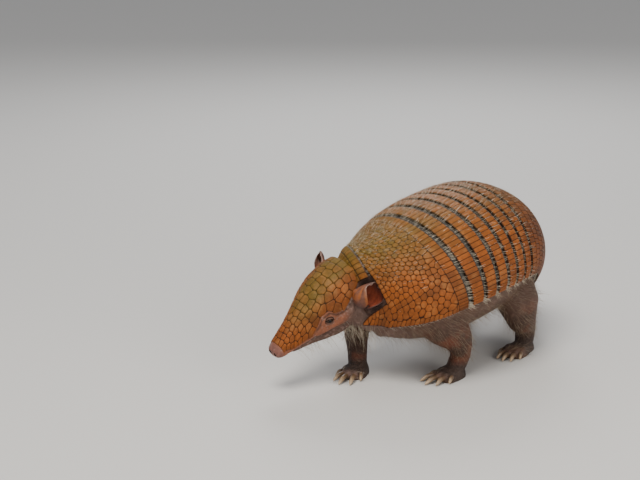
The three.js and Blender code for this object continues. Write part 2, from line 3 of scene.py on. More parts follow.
import bmesh
import bpy
import numpy as np
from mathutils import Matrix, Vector


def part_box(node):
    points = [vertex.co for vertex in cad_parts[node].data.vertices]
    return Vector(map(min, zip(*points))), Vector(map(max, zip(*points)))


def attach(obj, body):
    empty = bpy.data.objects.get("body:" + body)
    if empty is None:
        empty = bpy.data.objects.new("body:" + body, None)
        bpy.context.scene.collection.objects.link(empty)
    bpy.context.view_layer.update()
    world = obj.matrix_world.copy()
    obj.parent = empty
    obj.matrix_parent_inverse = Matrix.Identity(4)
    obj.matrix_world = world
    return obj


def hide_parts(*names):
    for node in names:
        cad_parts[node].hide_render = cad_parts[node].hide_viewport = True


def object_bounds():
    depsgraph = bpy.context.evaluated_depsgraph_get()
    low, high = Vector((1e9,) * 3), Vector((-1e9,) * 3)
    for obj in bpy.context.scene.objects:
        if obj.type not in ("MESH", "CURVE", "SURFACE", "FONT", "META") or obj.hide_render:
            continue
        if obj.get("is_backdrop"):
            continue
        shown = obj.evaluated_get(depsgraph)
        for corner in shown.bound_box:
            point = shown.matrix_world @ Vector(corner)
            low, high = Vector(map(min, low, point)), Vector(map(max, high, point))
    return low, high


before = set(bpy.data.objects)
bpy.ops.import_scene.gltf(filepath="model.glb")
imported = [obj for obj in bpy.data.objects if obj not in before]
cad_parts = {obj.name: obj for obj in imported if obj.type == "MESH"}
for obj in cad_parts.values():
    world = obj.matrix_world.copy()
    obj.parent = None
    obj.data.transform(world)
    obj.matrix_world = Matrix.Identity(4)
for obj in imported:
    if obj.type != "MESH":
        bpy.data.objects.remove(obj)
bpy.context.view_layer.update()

# ---- Camera ------------------------------------------------------------------------------------------------
# It looks from the animal's front left, a little above its back.

CAMERA_AZIMUTH = 43.38
CAMERA_ELEVATION = 14.94
CAMERA_PLACE = (1.1052, -1.4084, 0.6161)
LENS, SENSOR = 85, 36  # millimetres


def linked(name, data):
    """A new object of the scene."""
    made = bpy.data.objects.new(name, data)
    bpy.context.scene.collection.objects.link(made)
    return made


def make_camera():
    around, above = math.radians(CAMERA_AZIMUTH), math.radians(CAMERA_ELEVATION)
    back = Vector((math.sin(around) * math.cos(above), -math.cos(around) * math.cos(above), math.sin(above)))
    lens = bpy.data.cameras.new("camera")
    lens.lens = LENS
    lens.sensor_width = SENSOR
    camera = linked("camera", lens)
    camera.rotation_mode = "QUATERNION"
    camera.rotation_quaternion = (-back).to_track_quat("-Z", "Y")
    camera.location = CAMERA_PLACE
    bpy.context.scene.camera = camera


make_camera()

# ---- The animal's measures, in millimetres, as in the solids -----------------------------------------------

AXIS_FRONT, AXIS_REAR, AXIS_MIDDLE, AXIS_HEIGHT = -46, 296, 92, 118
AXIS = {
    "along": [-46, 0, 18, 37, 55, 74, 92, 110, 129, 147, 166, 200, 240, 270, 300],
    "turn": [32, 31, 23, 15.3, 8.6, 3.5, 0, -2.8, -4.8, -6, -6.4, -6.4, -7, -7.5, -8],
    "climb": [34, 23, 23, 22, 18, 12.6, 8.3, 5.1, 3, 1, -3, -16, -32, -48, -62],
}
DOME = {
    "along": [-46, -20, 0, 18, 37, 55, 74, 100, 160, 195, 225, 250, 270, 286, 296],
    "width": [37, 42, 59, 80, 91, 94, 97, 98.5, 96, 89, 76, 64, 53, 43, 35],
    "rise": [60, 69, 76, 77, 79, 82, 85, 87, 89, 82, 73, 63.5, 52, 42, 34],
    "belly": [26, 32, 41.5, 51, 58, 63, 66, 67, 66, 61, 54, 46, 37, 30, 26],
}
FLANK_DROP, MARGIN_ANGLE, MARGIN_OVERHANG = 54, 105, 8
SCAPULAR_REAR, BANDS, BAND_PITCH, BAND_LENGTH = 58, 6, 16.6, 12.4
FIRST_BAND = SCAPULAR_REAR + BAND_PITCH - BAND_LENGTH
PELVIC_FRONT = FIRST_BAND + BANDS * BAND_PITCH
PELVIC_REAR = 288
PELVIC_EDGES = np.linspace(PELVIC_FRONT, PELVIC_REAR, 12)
# where the shoulder shield and each band end, and the middles of the gaps behind them
BAND_ENDS = FIRST_BAND + (np.arange(BANDS + 1) - 1) * BAND_PITCH + BAND_LENGTH
GAP_MIDDLES = BAND_ENDS + 2.1
NUCHAL_FRONT, NUCHAL_REAR, NUCHAL_ANGLE = -13.5, -1, 44
BED = 3.7  # how deep the flesh lies under the shields' surface

CROWN = (-34.3, -125.9, 130.2)
HEAD_TURN, HEAD_PITCH, HEAD_ROLL = math.radians(-11.4), math.radians(28), math.radians(14.7)
HEAD_SQUARENESS = 0.88
HEAD = {
    "along": [12, -5, -23, -42, -57, -74, -90, -104, -112, -115],
    "width": [29.5, 33.6, 34, 30.5, 25.5, 19.3, 15.3, 12.7, 10.2, 7],
    "top": [16, 17, 14.5, 9, 2.5, -5.5, -13.5, -20.5, -25.5, -28],
    "middle": [-17, -18, -20, -22.5, -26, -29.5, -31.5, -32, -32.5, -32.5],
    "under": [-47, -51, -50, -45.5, -42, -40, -39.5, -39, -38, -36.5],
}
JAW = {
    "along": [-6, -20, -34, -48, -63, -77, -90, -98],
    "width": [23, 26, 24.5, 19.5, 15, 11.5, 9, 5],
    "top": [-40, -42, -43, -42, -40, -39, -38.6, -39],
    "middle": [-47, -49.5, -51, -50, -47.2, -44.6, -43, -42],
    "under": [-53, -57, -58.5, -57.5, -54, -50, -47, -44.5],
}
SHIELD = {
    "along": [9, -8, -26, -37, -45, -52, -61, -72, -93, -107],
    "angle": [56, 71, 81, 77, 62, 62, 76, 92, 96, 72],
}
EYE_CENTRE, EYE_RADIUS = (26, -46, -20), 5
EAR = {
    "root": (39, -3, -22),
    "tip": (48, 19, 5),
    "faces": (0.75, -0.5, 0.42),
    "height": [0, 0.12, 0.3, 0.5, 0.75, 0.92, 1],
    "back": [9, 12, 14.5, 16, 14, 9, 4],
    "front": [12.5, 15.5, 16.5, 13.5, 9.5, 6.5, 4],
    "front_wrap": [190, 190, 182, 164, 128, 96, 84],
    "back_wrap": [146, 140, 122, 102, 90, 82, 78],
}
LAID_BACK = {"height": 0.88, "depth": 0.8, "wrap": 0.62, "spread": 0.3, "turned": 40}  # the right ear

LEGS = {
    "foreleg_left": {
        "joints": [[34, -62, 92], [52, -44, 72], [60, -24, 50], [58, -15, 28], [55, -19, 12]],
        "wide": [22, 21, 16, 12, 11],
        "deep": [26, 26, 19, 12.5, 11.5],
        "heel": (55, -14),
        "heading": -6,
        "side": 1,
        "foot": "fore",
    },
    "foreleg_right": {
        "joints": [[-46, -52, 92], [-55, -61, 68], [-53, -74, 46], [-44, -83, 26], [-39, -88, 12]],
        "wide": [22, 20, 15, 12, 11],
        "deep": [26, 24, 18, 12.5, 11.5],
        "heel": (-38, -83),
        "heading": 14,
        "side": -1,
        "foot": "fore",
    },
    "hindleg_left": {
        "joints": [[40, 108, 94], [56, 98, 70], [62, 100, 50], [58, 114, 30], [56, 116, 12]],
        "wide": [24, 24, 18, 12.5, 11.5],
        "deep": [25, 32, 24, 14, 12.5],
        "heel": (56, 122),
        "heading": 8,
        "side": 1,
        "foot": "hind",
    },
    "hindleg_right": {
        "joints": [[-50, 117, 92], [-70, 112, 70], [-76, 124, 50], [-72, 146, 30], [-70, 152, 12]],
        "wide": [26, 24, 18, 12.5, 11.5],
        "deep": [26, 32, 24, 14, 12.5],
        "heel": (-70, 159),
        "heading": -12,
        "side": -1,
        "foot": "hind",
    },
}
FEET = {
    "fore": {
        "along": [-7, -4, 2, 10, 18, 26, 31],
        "width": [4, 9, 12, 14, 15.5, 15, 11],
        "height": [5, 14, 19, 18, 15, 12, 9],
        "angles": [-34, -17, 0, 16, 34],
        "reach": [27, 35, 37, 34, 27],
        "thick": [4, 4.6, 4.8, 4.4, 3.8],
        "claws": [11, 18, 19, 16, 10],
    },
    "hind": {
        "along": [-7, -3, 5, 15, 27, 38, 45],
        "width": [4, 9, 11.5, 12.5, 14.5, 14.5, 11],
        "height": [5, 13, 18, 17, 14, 11.5, 9],
        "angles": [-22, -11, 0, 11, 22],
        "reach": [41, 49, 51, 49, 41],
        "thick": [4, 4.5, 4.7, 4.4, 3.8],
        "claws": [9, 12, 13, 12, 9],
    },
}
TAIL = {
    "path": [
        [-24, 172, 74],
        [-29, 204, 52],
        [-39, 235, 30],
        [-57, 267, 13.5],
        [-84, 296, 7],
        [-115, 318, 4.4],
    ],
    "radius": [24, 20.5, 16, 12, 8, 4],
}

# ---- Curves and surfaces -----------------------------------------------------------------------------------


def unit(v):
    v = np.asarray(v, float)
    return v / np.maximum(np.linalg.norm(v, axis=-1, keepdims=True), 1e-9)


def circle(count):
    """Angles that divide a circle evenly."""
    return np.linspace(0, 2 * math.pi, count, endpoint=False)


def smoothstep(x, low, high):
    t = np.clip((np.asarray(x, float) - low) / (high - low), 0, 1)
    return t * t * (3 - 2 * t)


def profile(stations, values):
    """A smooth curve through a table's stations that never overshoots them."""
    xs, ys = np.asarray(stations, float), np.asarray(values, float)
    if xs[0] > xs[-1]:
        xs, ys = xs[::-1], ys[::-1]
    slope = np.diff(ys) / np.diff(xs)
    tangent = np.concatenate([slope[:1], np.zeros(len(xs) - 2), slope[-1:]])
    before, after = slope[:-1], slope[1:]
    same = before * after > 0
    tangent[1:-1][same] = 2 * before[same] * after[same] / (before[same] + after[same])

    def at(x):
        x = np.clip(np.asarray(x, float), xs[0], xs[-1])
        i = np.clip(np.searchsorted(xs, x, side="right") - 1, 0, len(xs) - 2)
        span = xs[i + 1] - xs[i]
        t = (x - xs[i]) / span
        ease = t * t * (3 - 2 * t)
        push = t * (1 - t) * span
        return ys[i] + (ys[i + 1] - ys[i]) * ease + push * ((1 - t) * tangent[i] - t * tangent[i + 1])

    return at


def profiles(table):
    return {key: profile(table["along"], table[key]) for key in table if key != "along"}


axis, dome, head_shape, jaw_shape = profiles(AXIS), profiles(DOME), profiles(HEAD), profiles(JAW)
shield_reach = profile(SHIELD["along"], SHIELD["angle"])


def axis_frame(a):
    """Directions back along the body's middle line, to its left and up, at station a."""
    pitch, turn = np.radians(axis["climb"](a)), np.radians(axis["turn"](a))
    back = np.stack([np.sin(turn) * np.cos(pitch), np.cos(turn) * np.cos(pitch), np.sin(pitch)], -1)
    left = np.stack([np.cos(turn), -np.sin(turn), np.zeros_like(turn)], -1)
    return back, left, np.cross(left, back)


def axis_line():
    """The body's middle line as a point for each millimetre."""
    steps = np.arange(AXIS_FRONT, AXIS_REAR) + 0.5
    line = np.vstack([[0, 0, 0], np.cumsum(axis_frame(steps)[0], axis=0)])
    return line + np.array([0, 0, AXIS_HEIGHT]) - line[AXIS_MIDDLE - AXIS_FRONT]


AXIS_LINE = axis_line()
AXIS_STATIONS = np.arange(AXIS_FRONT, AXIS_REAR + 1.0)


def on_axis(a, side, rise):
    """A point beside and above the body's middle line."""
    _, left, up = axis_frame(a)
    place = np.clip(a, AXIS_FRONT, AXIS_REAR)
    centre = np.stack([np.interp(place, AXIS_STATIONS, AXIS_LINE[:, k]) for k in range(3)], -1)
    return centre + left * np.asarray(side)[..., None] + up * np.asarray(rise)[..., None]


def on_dome(a, degrees, depth):
    """A point of the carapace's surface: a along the body, degrees round from the ridge, and how deep."""
    a, degrees, depth = np.broadcast_arrays(np.asarray(a, float), degrees, depth)
    angle = np.radians(degrees)
    drop = np.minimum(FLANK_DROP, dome["rise"](a)) - depth
    rise = np.where(np.cos(angle) < 0, drop, dome["rise"](a) - depth) * np.cos(angle)
    return on_axis(a, (dome["width"](a) - depth) * np.sin(angle), rise)


def turn_matrix():
    """The head's turn, pitch and roll."""
    cz, sz = math.cos(HEAD_TURN), math.sin(HEAD_TURN)
    cx, sx = math.cos(HEAD_PITCH), math.sin(HEAD_PITCH)
    cy, sy = math.cos(HEAD_ROLL), math.sin(HEAD_ROLL)
    about_z = np.array([[cz, -sz, 0], [sz, cz, 0], [0, 0, 1]])
    about_x = np.array([[1, 0, 0], [0, cx, -sx], [0, sx, cx]])
    about_y = np.array([[cy, 0, sy], [0, 1, 0], [-sy, 0, cy]])
    return about_z @ about_x @ about_y


HEAD_MATRIX = turn_matrix()


def on_head(x, y, z):
    """From the head's own frame to the animal's."""
    local = np.stack(np.broadcast_arrays(np.asarray(x, float), y, z), -1)
    return local @ HEAD_MATRIX.T + np.array(CROWN)


def in_head(points):
    """Points in the head's own frame: +X left, +Y back, +Z up from the crown."""
    return (points - np.array(CROWN)) @ HEAD_MATRIX


def face_outline(shape, along, degrees, depth):
    """Sideways and upright places on a section of the head or the jaw, degrees round from its top."""
    angle = np.radians(degrees)
    middle = shape["middle"](along)
    above, below = shape["top"](along) - middle - depth, middle - shape["under"](along) - depth
    squared = lambda v: np.sign(v) * np.abs(v) ** HEAD_SQUARENESS
    reach = np.where(np.cos(angle) > 0, above, below)
    return (shape["width"](along) - depth) * squared(np.sin(angle)), middle + reach * squared(np.cos(angle))


def on_face(along, degrees, depth, shape=head_shape):
    """A point of the head's surface, or of the jaw's."""
    along, degrees, depth = np.broadcast_arrays(np.asarray(along, float), degrees, depth)
    x, z = face_outline(shape, along, degrees, depth)
    return on_head(x, along, z)


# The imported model's origin is the middle of its footprint, so the solids' own origin is found from an eye.
low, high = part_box("eye_left")
SHIFT = on_head(*EYE_CENTRE) / 1000 - np.array((low + high) / 2)


def place(points):
    """From the solids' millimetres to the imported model's metres."""
    return np.asarray(points, float) / 1000 - SHIFT


def unplace(points):
    return (np.asarray(points, float) + SHIFT) * 1000


# ---- Meshes ------------------------------------------------------------------------------------------------


def new_mesh(name, points, faces):
    """A mesh from points in millimetres and sets of faces, each all triangles or all quads."""
    rows = [np.asarray(f, np.int64) for f in faces if len(f)]
    mesh = bpy.data.meshes.new(name)
    co = np.asarray(place(points), np.float32)
    mesh.vertices.add(len(co))
    mesh.vertices.foreach_set("co", co.ravel())
    counts = np.concatenate([np.full(len(f), f.shape[1]) for f in rows])
    corners = np.concatenate([f.ravel() for f in rows])
    mesh.loops.add(len(corners))
    mesh.loops.foreach_set("vertex_index", corners.astype(np.int32))
    mesh.polygons.add(len(counts))
    mesh.polygons.foreach_set("loop_start", np.concatenate([[0], np.cumsum(counts)[:-1]]).astype(np.int32))
    mesh.update(calc_edges=True)
    mesh.polygons.foreach_set("use_smooth", np.ones(len(counts), bool))
    mesh.validate()
    return mesh


def set_values(mesh, **values):
    """Numbers or colours at the vertices, for the materials to read."""
    for name, data in values.items():
        data = np.asarray(data, np.float32)
        kind = "FLOAT" if data.ndim == 1 else "FLOAT_COLOR"
        layer = mesh.attributes.get(name) or mesh.attributes.new(name, kind, "POINT")
        if data.ndim == 1:
            layer.data.foreach_set("value", data)
        else:
            four = np.ones((len(data), 4), np.float32)
            four[:, : data.shape[1]] = data
            layer.data.foreach_set("color", four.ravel())


def add_piece(name, mesh, material, slot, *nodes):
    """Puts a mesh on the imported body, in place of the nodes of the solids that it covers."""
    piece = linked(name, mesh)
    mesh.materials.clear()
    mesh.materials.append(material)
    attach(piece, "root")
    if nodes:
        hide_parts(*nodes)
    return piece


def grid_faces(rows, columns, wrap=False):
    """Quads over a grid of points stored row by row."""
    i, j = np.meshgrid(np.arange(rows - 1), np.arange(columns if wrap else columns - 1), indexing="ij")
    a = i * columns + j
    b = i * columns + (j + 1) % columns
    return np.stack([a, b, b + columns, a + columns], -1).reshape(-1, 4)


def border(rows, columns):
    """The points round the rim of a grid, in order."""
    top, bottom = np.arange(columns), (rows - 1) * columns + np.arange(columns - 2, -1, -1)
    right, left = np.arange(1, rows) * columns + columns - 1, np.arange(rows - 2, 0, -1) * columns
    return np.concatenate([top, right, bottom, left])


def caps(rows, columns, first_tip, last_tip):
    """Triangles that close a tube's first ring and its last one, each onto a point."""
    j = np.arange(columns)
    k = (j + 1) % columns
    last = (rows - 1) * columns
    first_cap = np.stack([k, j, np.full(columns, first_tip)], -1)
    return first_cap, np.stack([last + j, last + k, np.full(columns, last_tip)], -1)


def tube(rings):
    """A closed tube through rings of points: points, then faces."""
    rows, columns = rings.shape[:2]
    points = np.vstack([rings.reshape(-1, 3), rings[0].mean(0), rings[-1].mean(0)])
    ends = caps(rows, columns, rows * columns, rows * columns + 1)
    return points, [grid_faces(rows, columns, wrap=True), np.vstack(ends)]


def repeated(faces, count, size):
    """The faces of one body for count bodies, whose points follow each other, size for each."""
    starts = (np.arange(count) * size)[:, None, None]
    return [(part[None] + starts).reshape(-1, part.shape[1]) for part in faces]


def joined(parts):
    """Several bodies of points and faces as one."""
    points, quads, triangles, count = [], [], [], 0
    for part_points, rows in parts:
        for row in rows:
            (quads if row.shape[1] == 4 else triangles).append(row + count)
        points.append(part_points)
        count += len(part_points)
    empty4, empty3 = np.zeros((0, 4), np.int64), np.zeros((0, 3), np.int64)
    return np.vstack(points), [np.vstack([empty4, *quads]), np.vstack([empty3, *triangles])]


def turned_out(points, rows):
    """The same body with its faces turned outwards."""
    triangles = [r[:, [0, 1, 2]] for r in rows] + [r[:, [0, 2, 3]] for r in rows if r.shape[1] == 4]
    t = np.vstack(triangles)
    c = points.mean(0)
    volume = np.einsum("ij,ij->", points[t[:, 0]] - c, np.cross(points[t[:, 1]] - c, points[t[:, 2]] - c))
    return points, (rows if volume > 0 else [r[:, ::-1] for r in rows])


# ---- Noise -------------------------------------------------------------------------------------------------


def lattice(cell, seed):
    """A fixed pseudo-random number from 0 to 1 for each cell."""
    x, y, z = (cell[..., k].astype(np.int64) for k in range(3))
    h = (x * 73856093) ^ (y * 19349663) ^ (z * 83492791) ^ (seed * 2654435761)
    h = (h ^ (h >> 13)) * 1274126177 & 0x7FFFFFFF
    return ((h ^ (h >> 16)) & 0xFFFFFF) / 0xFFFFFF


def noise(points, size, seed=0):
    """Smooth noise from 0 to 1 with features about size millimetres across."""
    q = np.asarray(points, float) / size
    cell = np.floor(q)
    f = q - cell
    f = f * f * (3 - 2 * f)
    total = 0
    for corner in np.ndindex(2, 2, 2):
        weight = np.prod(np.where(corner, f, 1 - f), axis=-1)
        total = total + weight * lattice(cell + np.array(corner), seed)
    return total


def fractal(points, size, seed=0, octaves=3):
    """Noise with finer and fainter noise on it."""
    parts = [noise(points, size / 2**k, seed + 7 * k) / 2**k for k in range(octaves)]
    return sum(parts) / sum(0.5**k for k in range(octaves))


# ---- Materials ---------------------------------------------------------------------------------------------


def new_material(name):
    material = bpy.data.materials.new(name)
    material.use_nodes = True
    tree = material.node_tree
    return material, tree, tree.nodes["Principled BSDF"]


def node(tree, kind, **settings):
    made = tree.nodes.new(kind)
    for key, value in settings.items():
        if hasattr(made, key):
            setattr(made, key, value)
        else:
            made.inputs[key.replace("_", " ")].default_value = value
    return made


def relief(tree, where, kind, size):
    """The height of a layer: noise, or cells with sunken edges, which "scales" has on scaly skin only."""
    link = tree.links.new
    if kind == "noise":
        texture = node(tree, "ShaderNodeTexNoise", Scale=1000 / size, Detail=4.0, Roughness=0.65)
        link(where, texture.inputs["Vector"])
        return texture.outputs["Fac"]
    texture = node(tree, "ShaderNodeTexVoronoi", feature="DISTANCE_TO_EDGE", Scale=1000 / size)
    link(where, texture.inputs["Vector"])
    ramp = node(tree, "ShaderNodeMapRange", From_Max=0.25 if kind == "cells" else 0.16)
    link(texture.outputs["Distance"], ramp.inputs["Value"])
    if kind == "cells":
        return ramp.outputs["Result"]
    share = node(tree, "ShaderNodeMath", operation="MULTIPLY")
    link(ramp.outputs["Result"], share.inputs[0])
    link(node(tree, "ShaderNodeAttribute", attribute_name="scaly").outputs["Fac"], share.inputs[1])
    return share.outputs["Value"]


def painted(name, roughness, specular, mottle, mottle_size, bumps=(), rough_range=0.12):
    """Colour from the piece's own vertices, mottled, with a fine relief. Sizes are in millimetres."""
    material, tree, shader = new_material(name)
    link = tree.links.new
    where = node(tree, "ShaderNodeTexCoord").outputs["Object"]
    colour = node(tree, "ShaderNodeAttribute", attribute_name="colour").outputs["Color"]
    speckle = node(tree, "ShaderNodeTexNoise", Scale=1000 / mottle_size, Detail=5.0, Roughness=0.6)
    link(where, speckle.inputs["Vector"])
    spread = {"From_Min": 0.25, "From_Max": 0.75, "To_Min": 1 - mottle, "To_Max": 1 + mottle}
    shade = node(tree, "ShaderNodeMapRange", **spread)
    link(speckle.outputs["Fac"], shade.inputs["Value"])
    mixed = node(tree, "ShaderNodeVectorMath", operation="SCALE")
    link(colour, mixed.inputs[0])
    link(shade.outputs["Result"], mixed.inputs["Scale"])
    link(mixed.outputs["Vector"], shader.inputs["Base Color"])
    spread = {"To_Min": roughness - rough_range, "To_Max": roughness + rough_range}
    rough = node(tree, "ShaderNodeMapRange", **spread)
    link(speckle.outputs["Fac"], rough.inputs["Value"])
    link(rough.outputs["Result"], shader.inputs["Roughness"])
    shader.inputs["Specular IOR Level"].default_value = specular
    before = None
    for kind, size, strength, height in bumps:
        out = relief(tree, where, kind, size)
        bump = node(tree, "ShaderNodeBump", Strength=strength, Distance=height / 1000)
        link(out, bump.inputs["Height"])
        if before is not None:
            link(before, bump.inputs["Normal"])
        before = bump.outputs["Normal"]
    if before is not None:
        link(before, shader.inputs["Normal"])
    return material


SCUTE = painted("scute", 0.56, 0.2, 0.26, 2.6, [("noise", 1.1, 0.35, 0.5), ("noise", 4.0, 0.3, 0.8)])
SEAM = painted("scute_seam", 0.8, 0.2, 0.3, 2.0, [("noise", 0.8, 0.5, 0.5)])
SKIN_RELIEF = [("cells", 1.7, 0.4, 0.32), ("scales", 4.2, 0.9, 0.9), ("noise", 0.8, 0.3, 0.3)]
SKIN = painted("skin", 0.6, 0.32, 0.28, 3.0, SKIN_RELIEF)
TAIL_PLATE = painted("tail_scute", 0.55, 0.35, 0.28, 2.4, [("noise", 1.0, 0.4, 0.5)])
CLAW = painted("claw", 0.36, 0.5, 0.22, 2.2, [("noise", 1.3, 0.2, 0.3)], 0.08)
HAIR = painted("hair", 0.5, 0.4, 0.12, 2.0)
EYEBALL = painted("eyeball", 0.12, 0.26, 0.2, 1.2, rough_range=0.03)

# ---- Plates of the carapace and the head -------------------------------------------------------------------

ORANGE = np.array([0.262, 0.070, 0.010])
BROWN = np.array([0.132, 0.040, 0.009])
# the greenish brown below is partly the plates' own colour and partly painted green bounce light on the upper
# surfaces
OLIVE_AND_GREEN_BOUNCE = np.array([0.138, 0.086, 0.013])
SEAM_COLOUR = np.array([0.030, 0.0125, 0.006])
WORN = np.array([0.38, 0.175, 0.055])


def mix(a, b, t):
    """From colour a to colour b by shares t."""
    return a + (b - a) * np.asarray(t, float)[..., None]


def scute_colours(points, tint, rise, olive_and_bounce, faint=0.0):
    """Orange horn, brown in patches and greenish over the back, partly own colour and partly painted green
    bounce light, dark down in the seams unless they're faint.
    """
    patches = smoothstep(fractal(points, 26, 3), 0.38, 0.66)
    colour = mix(ORANGE, BROWN, np.clip(0.55 * patches + 0.6 * (tint - 0.35), 0, 1))
    colour = mix(colour, OLIVE_AND_GREEN_BOUNCE, olive_and_bounce * (0.7 + 0.3 * tint))
    worn = 0.28 * smoothstep(rise, 0.75, 1.0)
    colour = mix(colour, WORN, worn * smoothstep(fractal(points, 9, 5), 0.5, 0.75))
    colour = colour * (0.8 + 0.4 * fractal(points, 5, 9))[..., None]
    return mix(mix(SEAM_COLOUR, colour * 0.5, faint), colour, smoothstep(rise, 0.1, 0.62))


def clip(polygon, mx, my, nx, ny):
    """The part of a convex polygon behind the line through (mx, my) square to (nx, ny)."""
    kept = []
    for k in range(len(polygon)):
        (ax, ay), (bx, by) = polygon[k - 1], polygon[k]
        da, db = (ax - mx) * nx + (ay - my) * ny, (bx - mx) * nx + (by - my) * ny
        if (da < 0) != (db < 0):
            t = da / (da - db)
            kept.append((ax + (bx - ax) * t, ay + (by - ay) * t))
        if db <= 0:
            kept.append((bx, by))
    return kept


def lengths_along(line):
    return np.concatenate([[0], np.cumsum(np.hypot(*np.diff(line, axis=0).T))])


NEIGHBOURS = 20  # how many of the nearest seeds can bound a plate


def cells(seeds, edge, pitch, seam, sides=22):
    """The outline of the plate round each seed, as a ring of points. edge borders the whole sheet."""
    near = np.linalg.norm(seeds[:, None] - edge[None], axis=-1)
    closest = near.argmin(1)
    gap = near[np.arange(len(seeds)), closest]
    ghosts = 2 * edge[closest] - seeds
    everything = np.vstack([seeds, ghosts[gap < 1.2 * pitch]])
    rings, kept = [], []
    for number, (sx, sy) in enumerate(seeds):
        away = everything - (sx, sy)
        far = np.hypot(*away.T)
        half = 1.4 * pitch
        left, right, low, high = sx - half, sx + half, sy - half, sy + half
        polygon = [(left, low), (right, low), (right, high), (left, high)]
        for j in np.argsort(far)[1:NEIGHBOURS]:
            nx, ny = away[j] / far[j]
            to = far[j] / 2 - seam / 2
            polygon = clip(polygon, sx + nx * to, sy + ny * to, nx, ny)
            if len(polygon) < 3:
                break
        if len(polygon) < 3:
            continue
        loop = np.array(polygon + polygon[:1])
        length = lengths_along(loop)
        if length[-1] < 1.6 * pitch:
            continue
        steps = np.linspace(0, length[-1], sides, endpoint=False)
        ring = np.stack([np.interp(steps, length, loop[:, k]) for k in range(2)], -1)
        ring = 0.5 * ring + 0.25 * (np.roll(ring, 1, 0) + np.roll(ring, -1, 0))
        if np.sum(ring[:, 0] * np.roll(ring[:, 1], -1) - np.roll(ring[:, 0], -1) * ring[:, 1]) < 0:
            ring = ring[::-1]
        rings.append(ring)
        kept.append(number)
    return np.array(rings), np.array(kept)


def rim_row(line, sign, pitch):
    """Places of plates in a row just inside a rim. sign tells on which side of the line they lie."""
    length = lengths_along(line)
    slope = np.stack([np.gradient(line[:, k], length) for k in range(2)], -1)
    spots, at = [], 0.0
    while at + 0.55 * pitch(line[0, 0]) < length[-1]:
        size = pitch(np.interp(at, length, line[:, 0]))
        middle = min(at + size / 2, length[-1])
        (u, w), (du, dw) = ([np.interp(middle, length, v[:, k]) for k in range(2)] for v in (line, slope))
        spots.append((u, w) + sign * unit([-dw, du]) * size / 2)
        at += size
    return spots


def settled(rims, seeds, edge, pitch, seam):
    """Seeds of the rows along the rims with the others fitted in between and evened out."""
    rows = np.vstack(rims)
    kept = [rows[0]]
    for spot in rows[1:]:
        if np.hypot(*(np.array(kept) - spot).T).min() > 0.74 * pitch(spot[0]):
            kept.append(spot)
    fixed = np.array(kept)
    sizes = np.array([pitch(u) for u in seeds[:, 0]])
    clear = np.linalg.norm(seeds[:, None] - fixed[None], axis=-1).min(1) > 0.78 * sizes
    near = np.linalg.norm(seeds[:, None] - edge[None], axis=-1).min(1)
    seeds = np.vstack([fixed, seeds[clear & (near > 0.5 * sizes)]])
    for _ in range(2):
        rings, numbers = cells(seeds, edge, pitch(0), seam)
        middle = rings.mean(1)
        free = numbers >= len(fixed)
        seeds[numbers[free]] += 0.7 * (middle[free] - seeds[numbers[free]])
    return seeds


# A plate's rings from its hidden rim up to its top: how far in, how deep and the share of the full rise.
POLYGON_RINGS = [
    (0, 1.1, 0),
    (0, 0.5, 0),
    (0.14, 0.12, 0.35),
    (0.42, -0.1, 0.72),
    (0.95, -0.22, 0.95),
    (1.9, -0.3, 1.0),
]
PLATE_BASE = 1.1  # how deep a plate's hidden underside lies


def polygon_plates(rings, surface, rng, scale=1.0):
    """Raised plates with rounded rims from outlines on a sheet. Gives points, faces, tint and rise."""
    count, sides = rings.shape[:2]
    centre = rings.mean(1, keepdims=True)
    reach = np.linalg.norm(rings - centre, axis=-1).mean(1)[:, None, None]
    lift = rng.uniform(-0.1, 0.1, (count, 1))
    layers, rises = [], []
    for inset, depth, rise in POLYGON_RINGS:
        flat = centre + (rings - centre) * np.maximum(1 - inset * scale / reach, 0.25)
        lifted = lift if depth < 0.5 else 0 * lift
        layers.append(surface(flat[..., 0], flat[..., 1], depth * scale + lifted))
        rises.append(np.full((count, sides), rise))
    top = surface(centre[:, :, 0], centre[:, :, 1], -0.34 * scale + lift)
    under = surface(centre[:, :, 0], centre[:, :, 1], PLATE_BASE * scale + 0 * lift)
    points = np.concatenate(layers + [top, under], axis=1)
    rise = np.concatenate(rises + [np.ones((count, 1)), np.zeros((count, 1))], axis=1)
    size = points.shape[1]
    first_cap, last_cap = caps(len(layers), sides, size - 1, size - 2)
    tint = np.repeat(rng.random(count), size)
    faces = [grid_faces(len(layers), sides, wrap=True), np.vstack([last_cap, first_cap])]
    return points.reshape(-1, 3), repeated(faces, count, size), tint, rise.ravel()


# Across a rectangular plate and along it: closer together near the rims.
ACROSS = np.array([0, 0.02, 0.07, 0.16, 0.27, 0.33, 0.39, 0.5, 0.61, 0.67, 0.73, 0.84, 0.93, 0.98, 1])
ALONG = np.array([0, 0.015, 0.05, 0.12, 0.25, 0.4, 0.55, 0.7, 0.83, 0.92, 0.97, 0.99, 1])


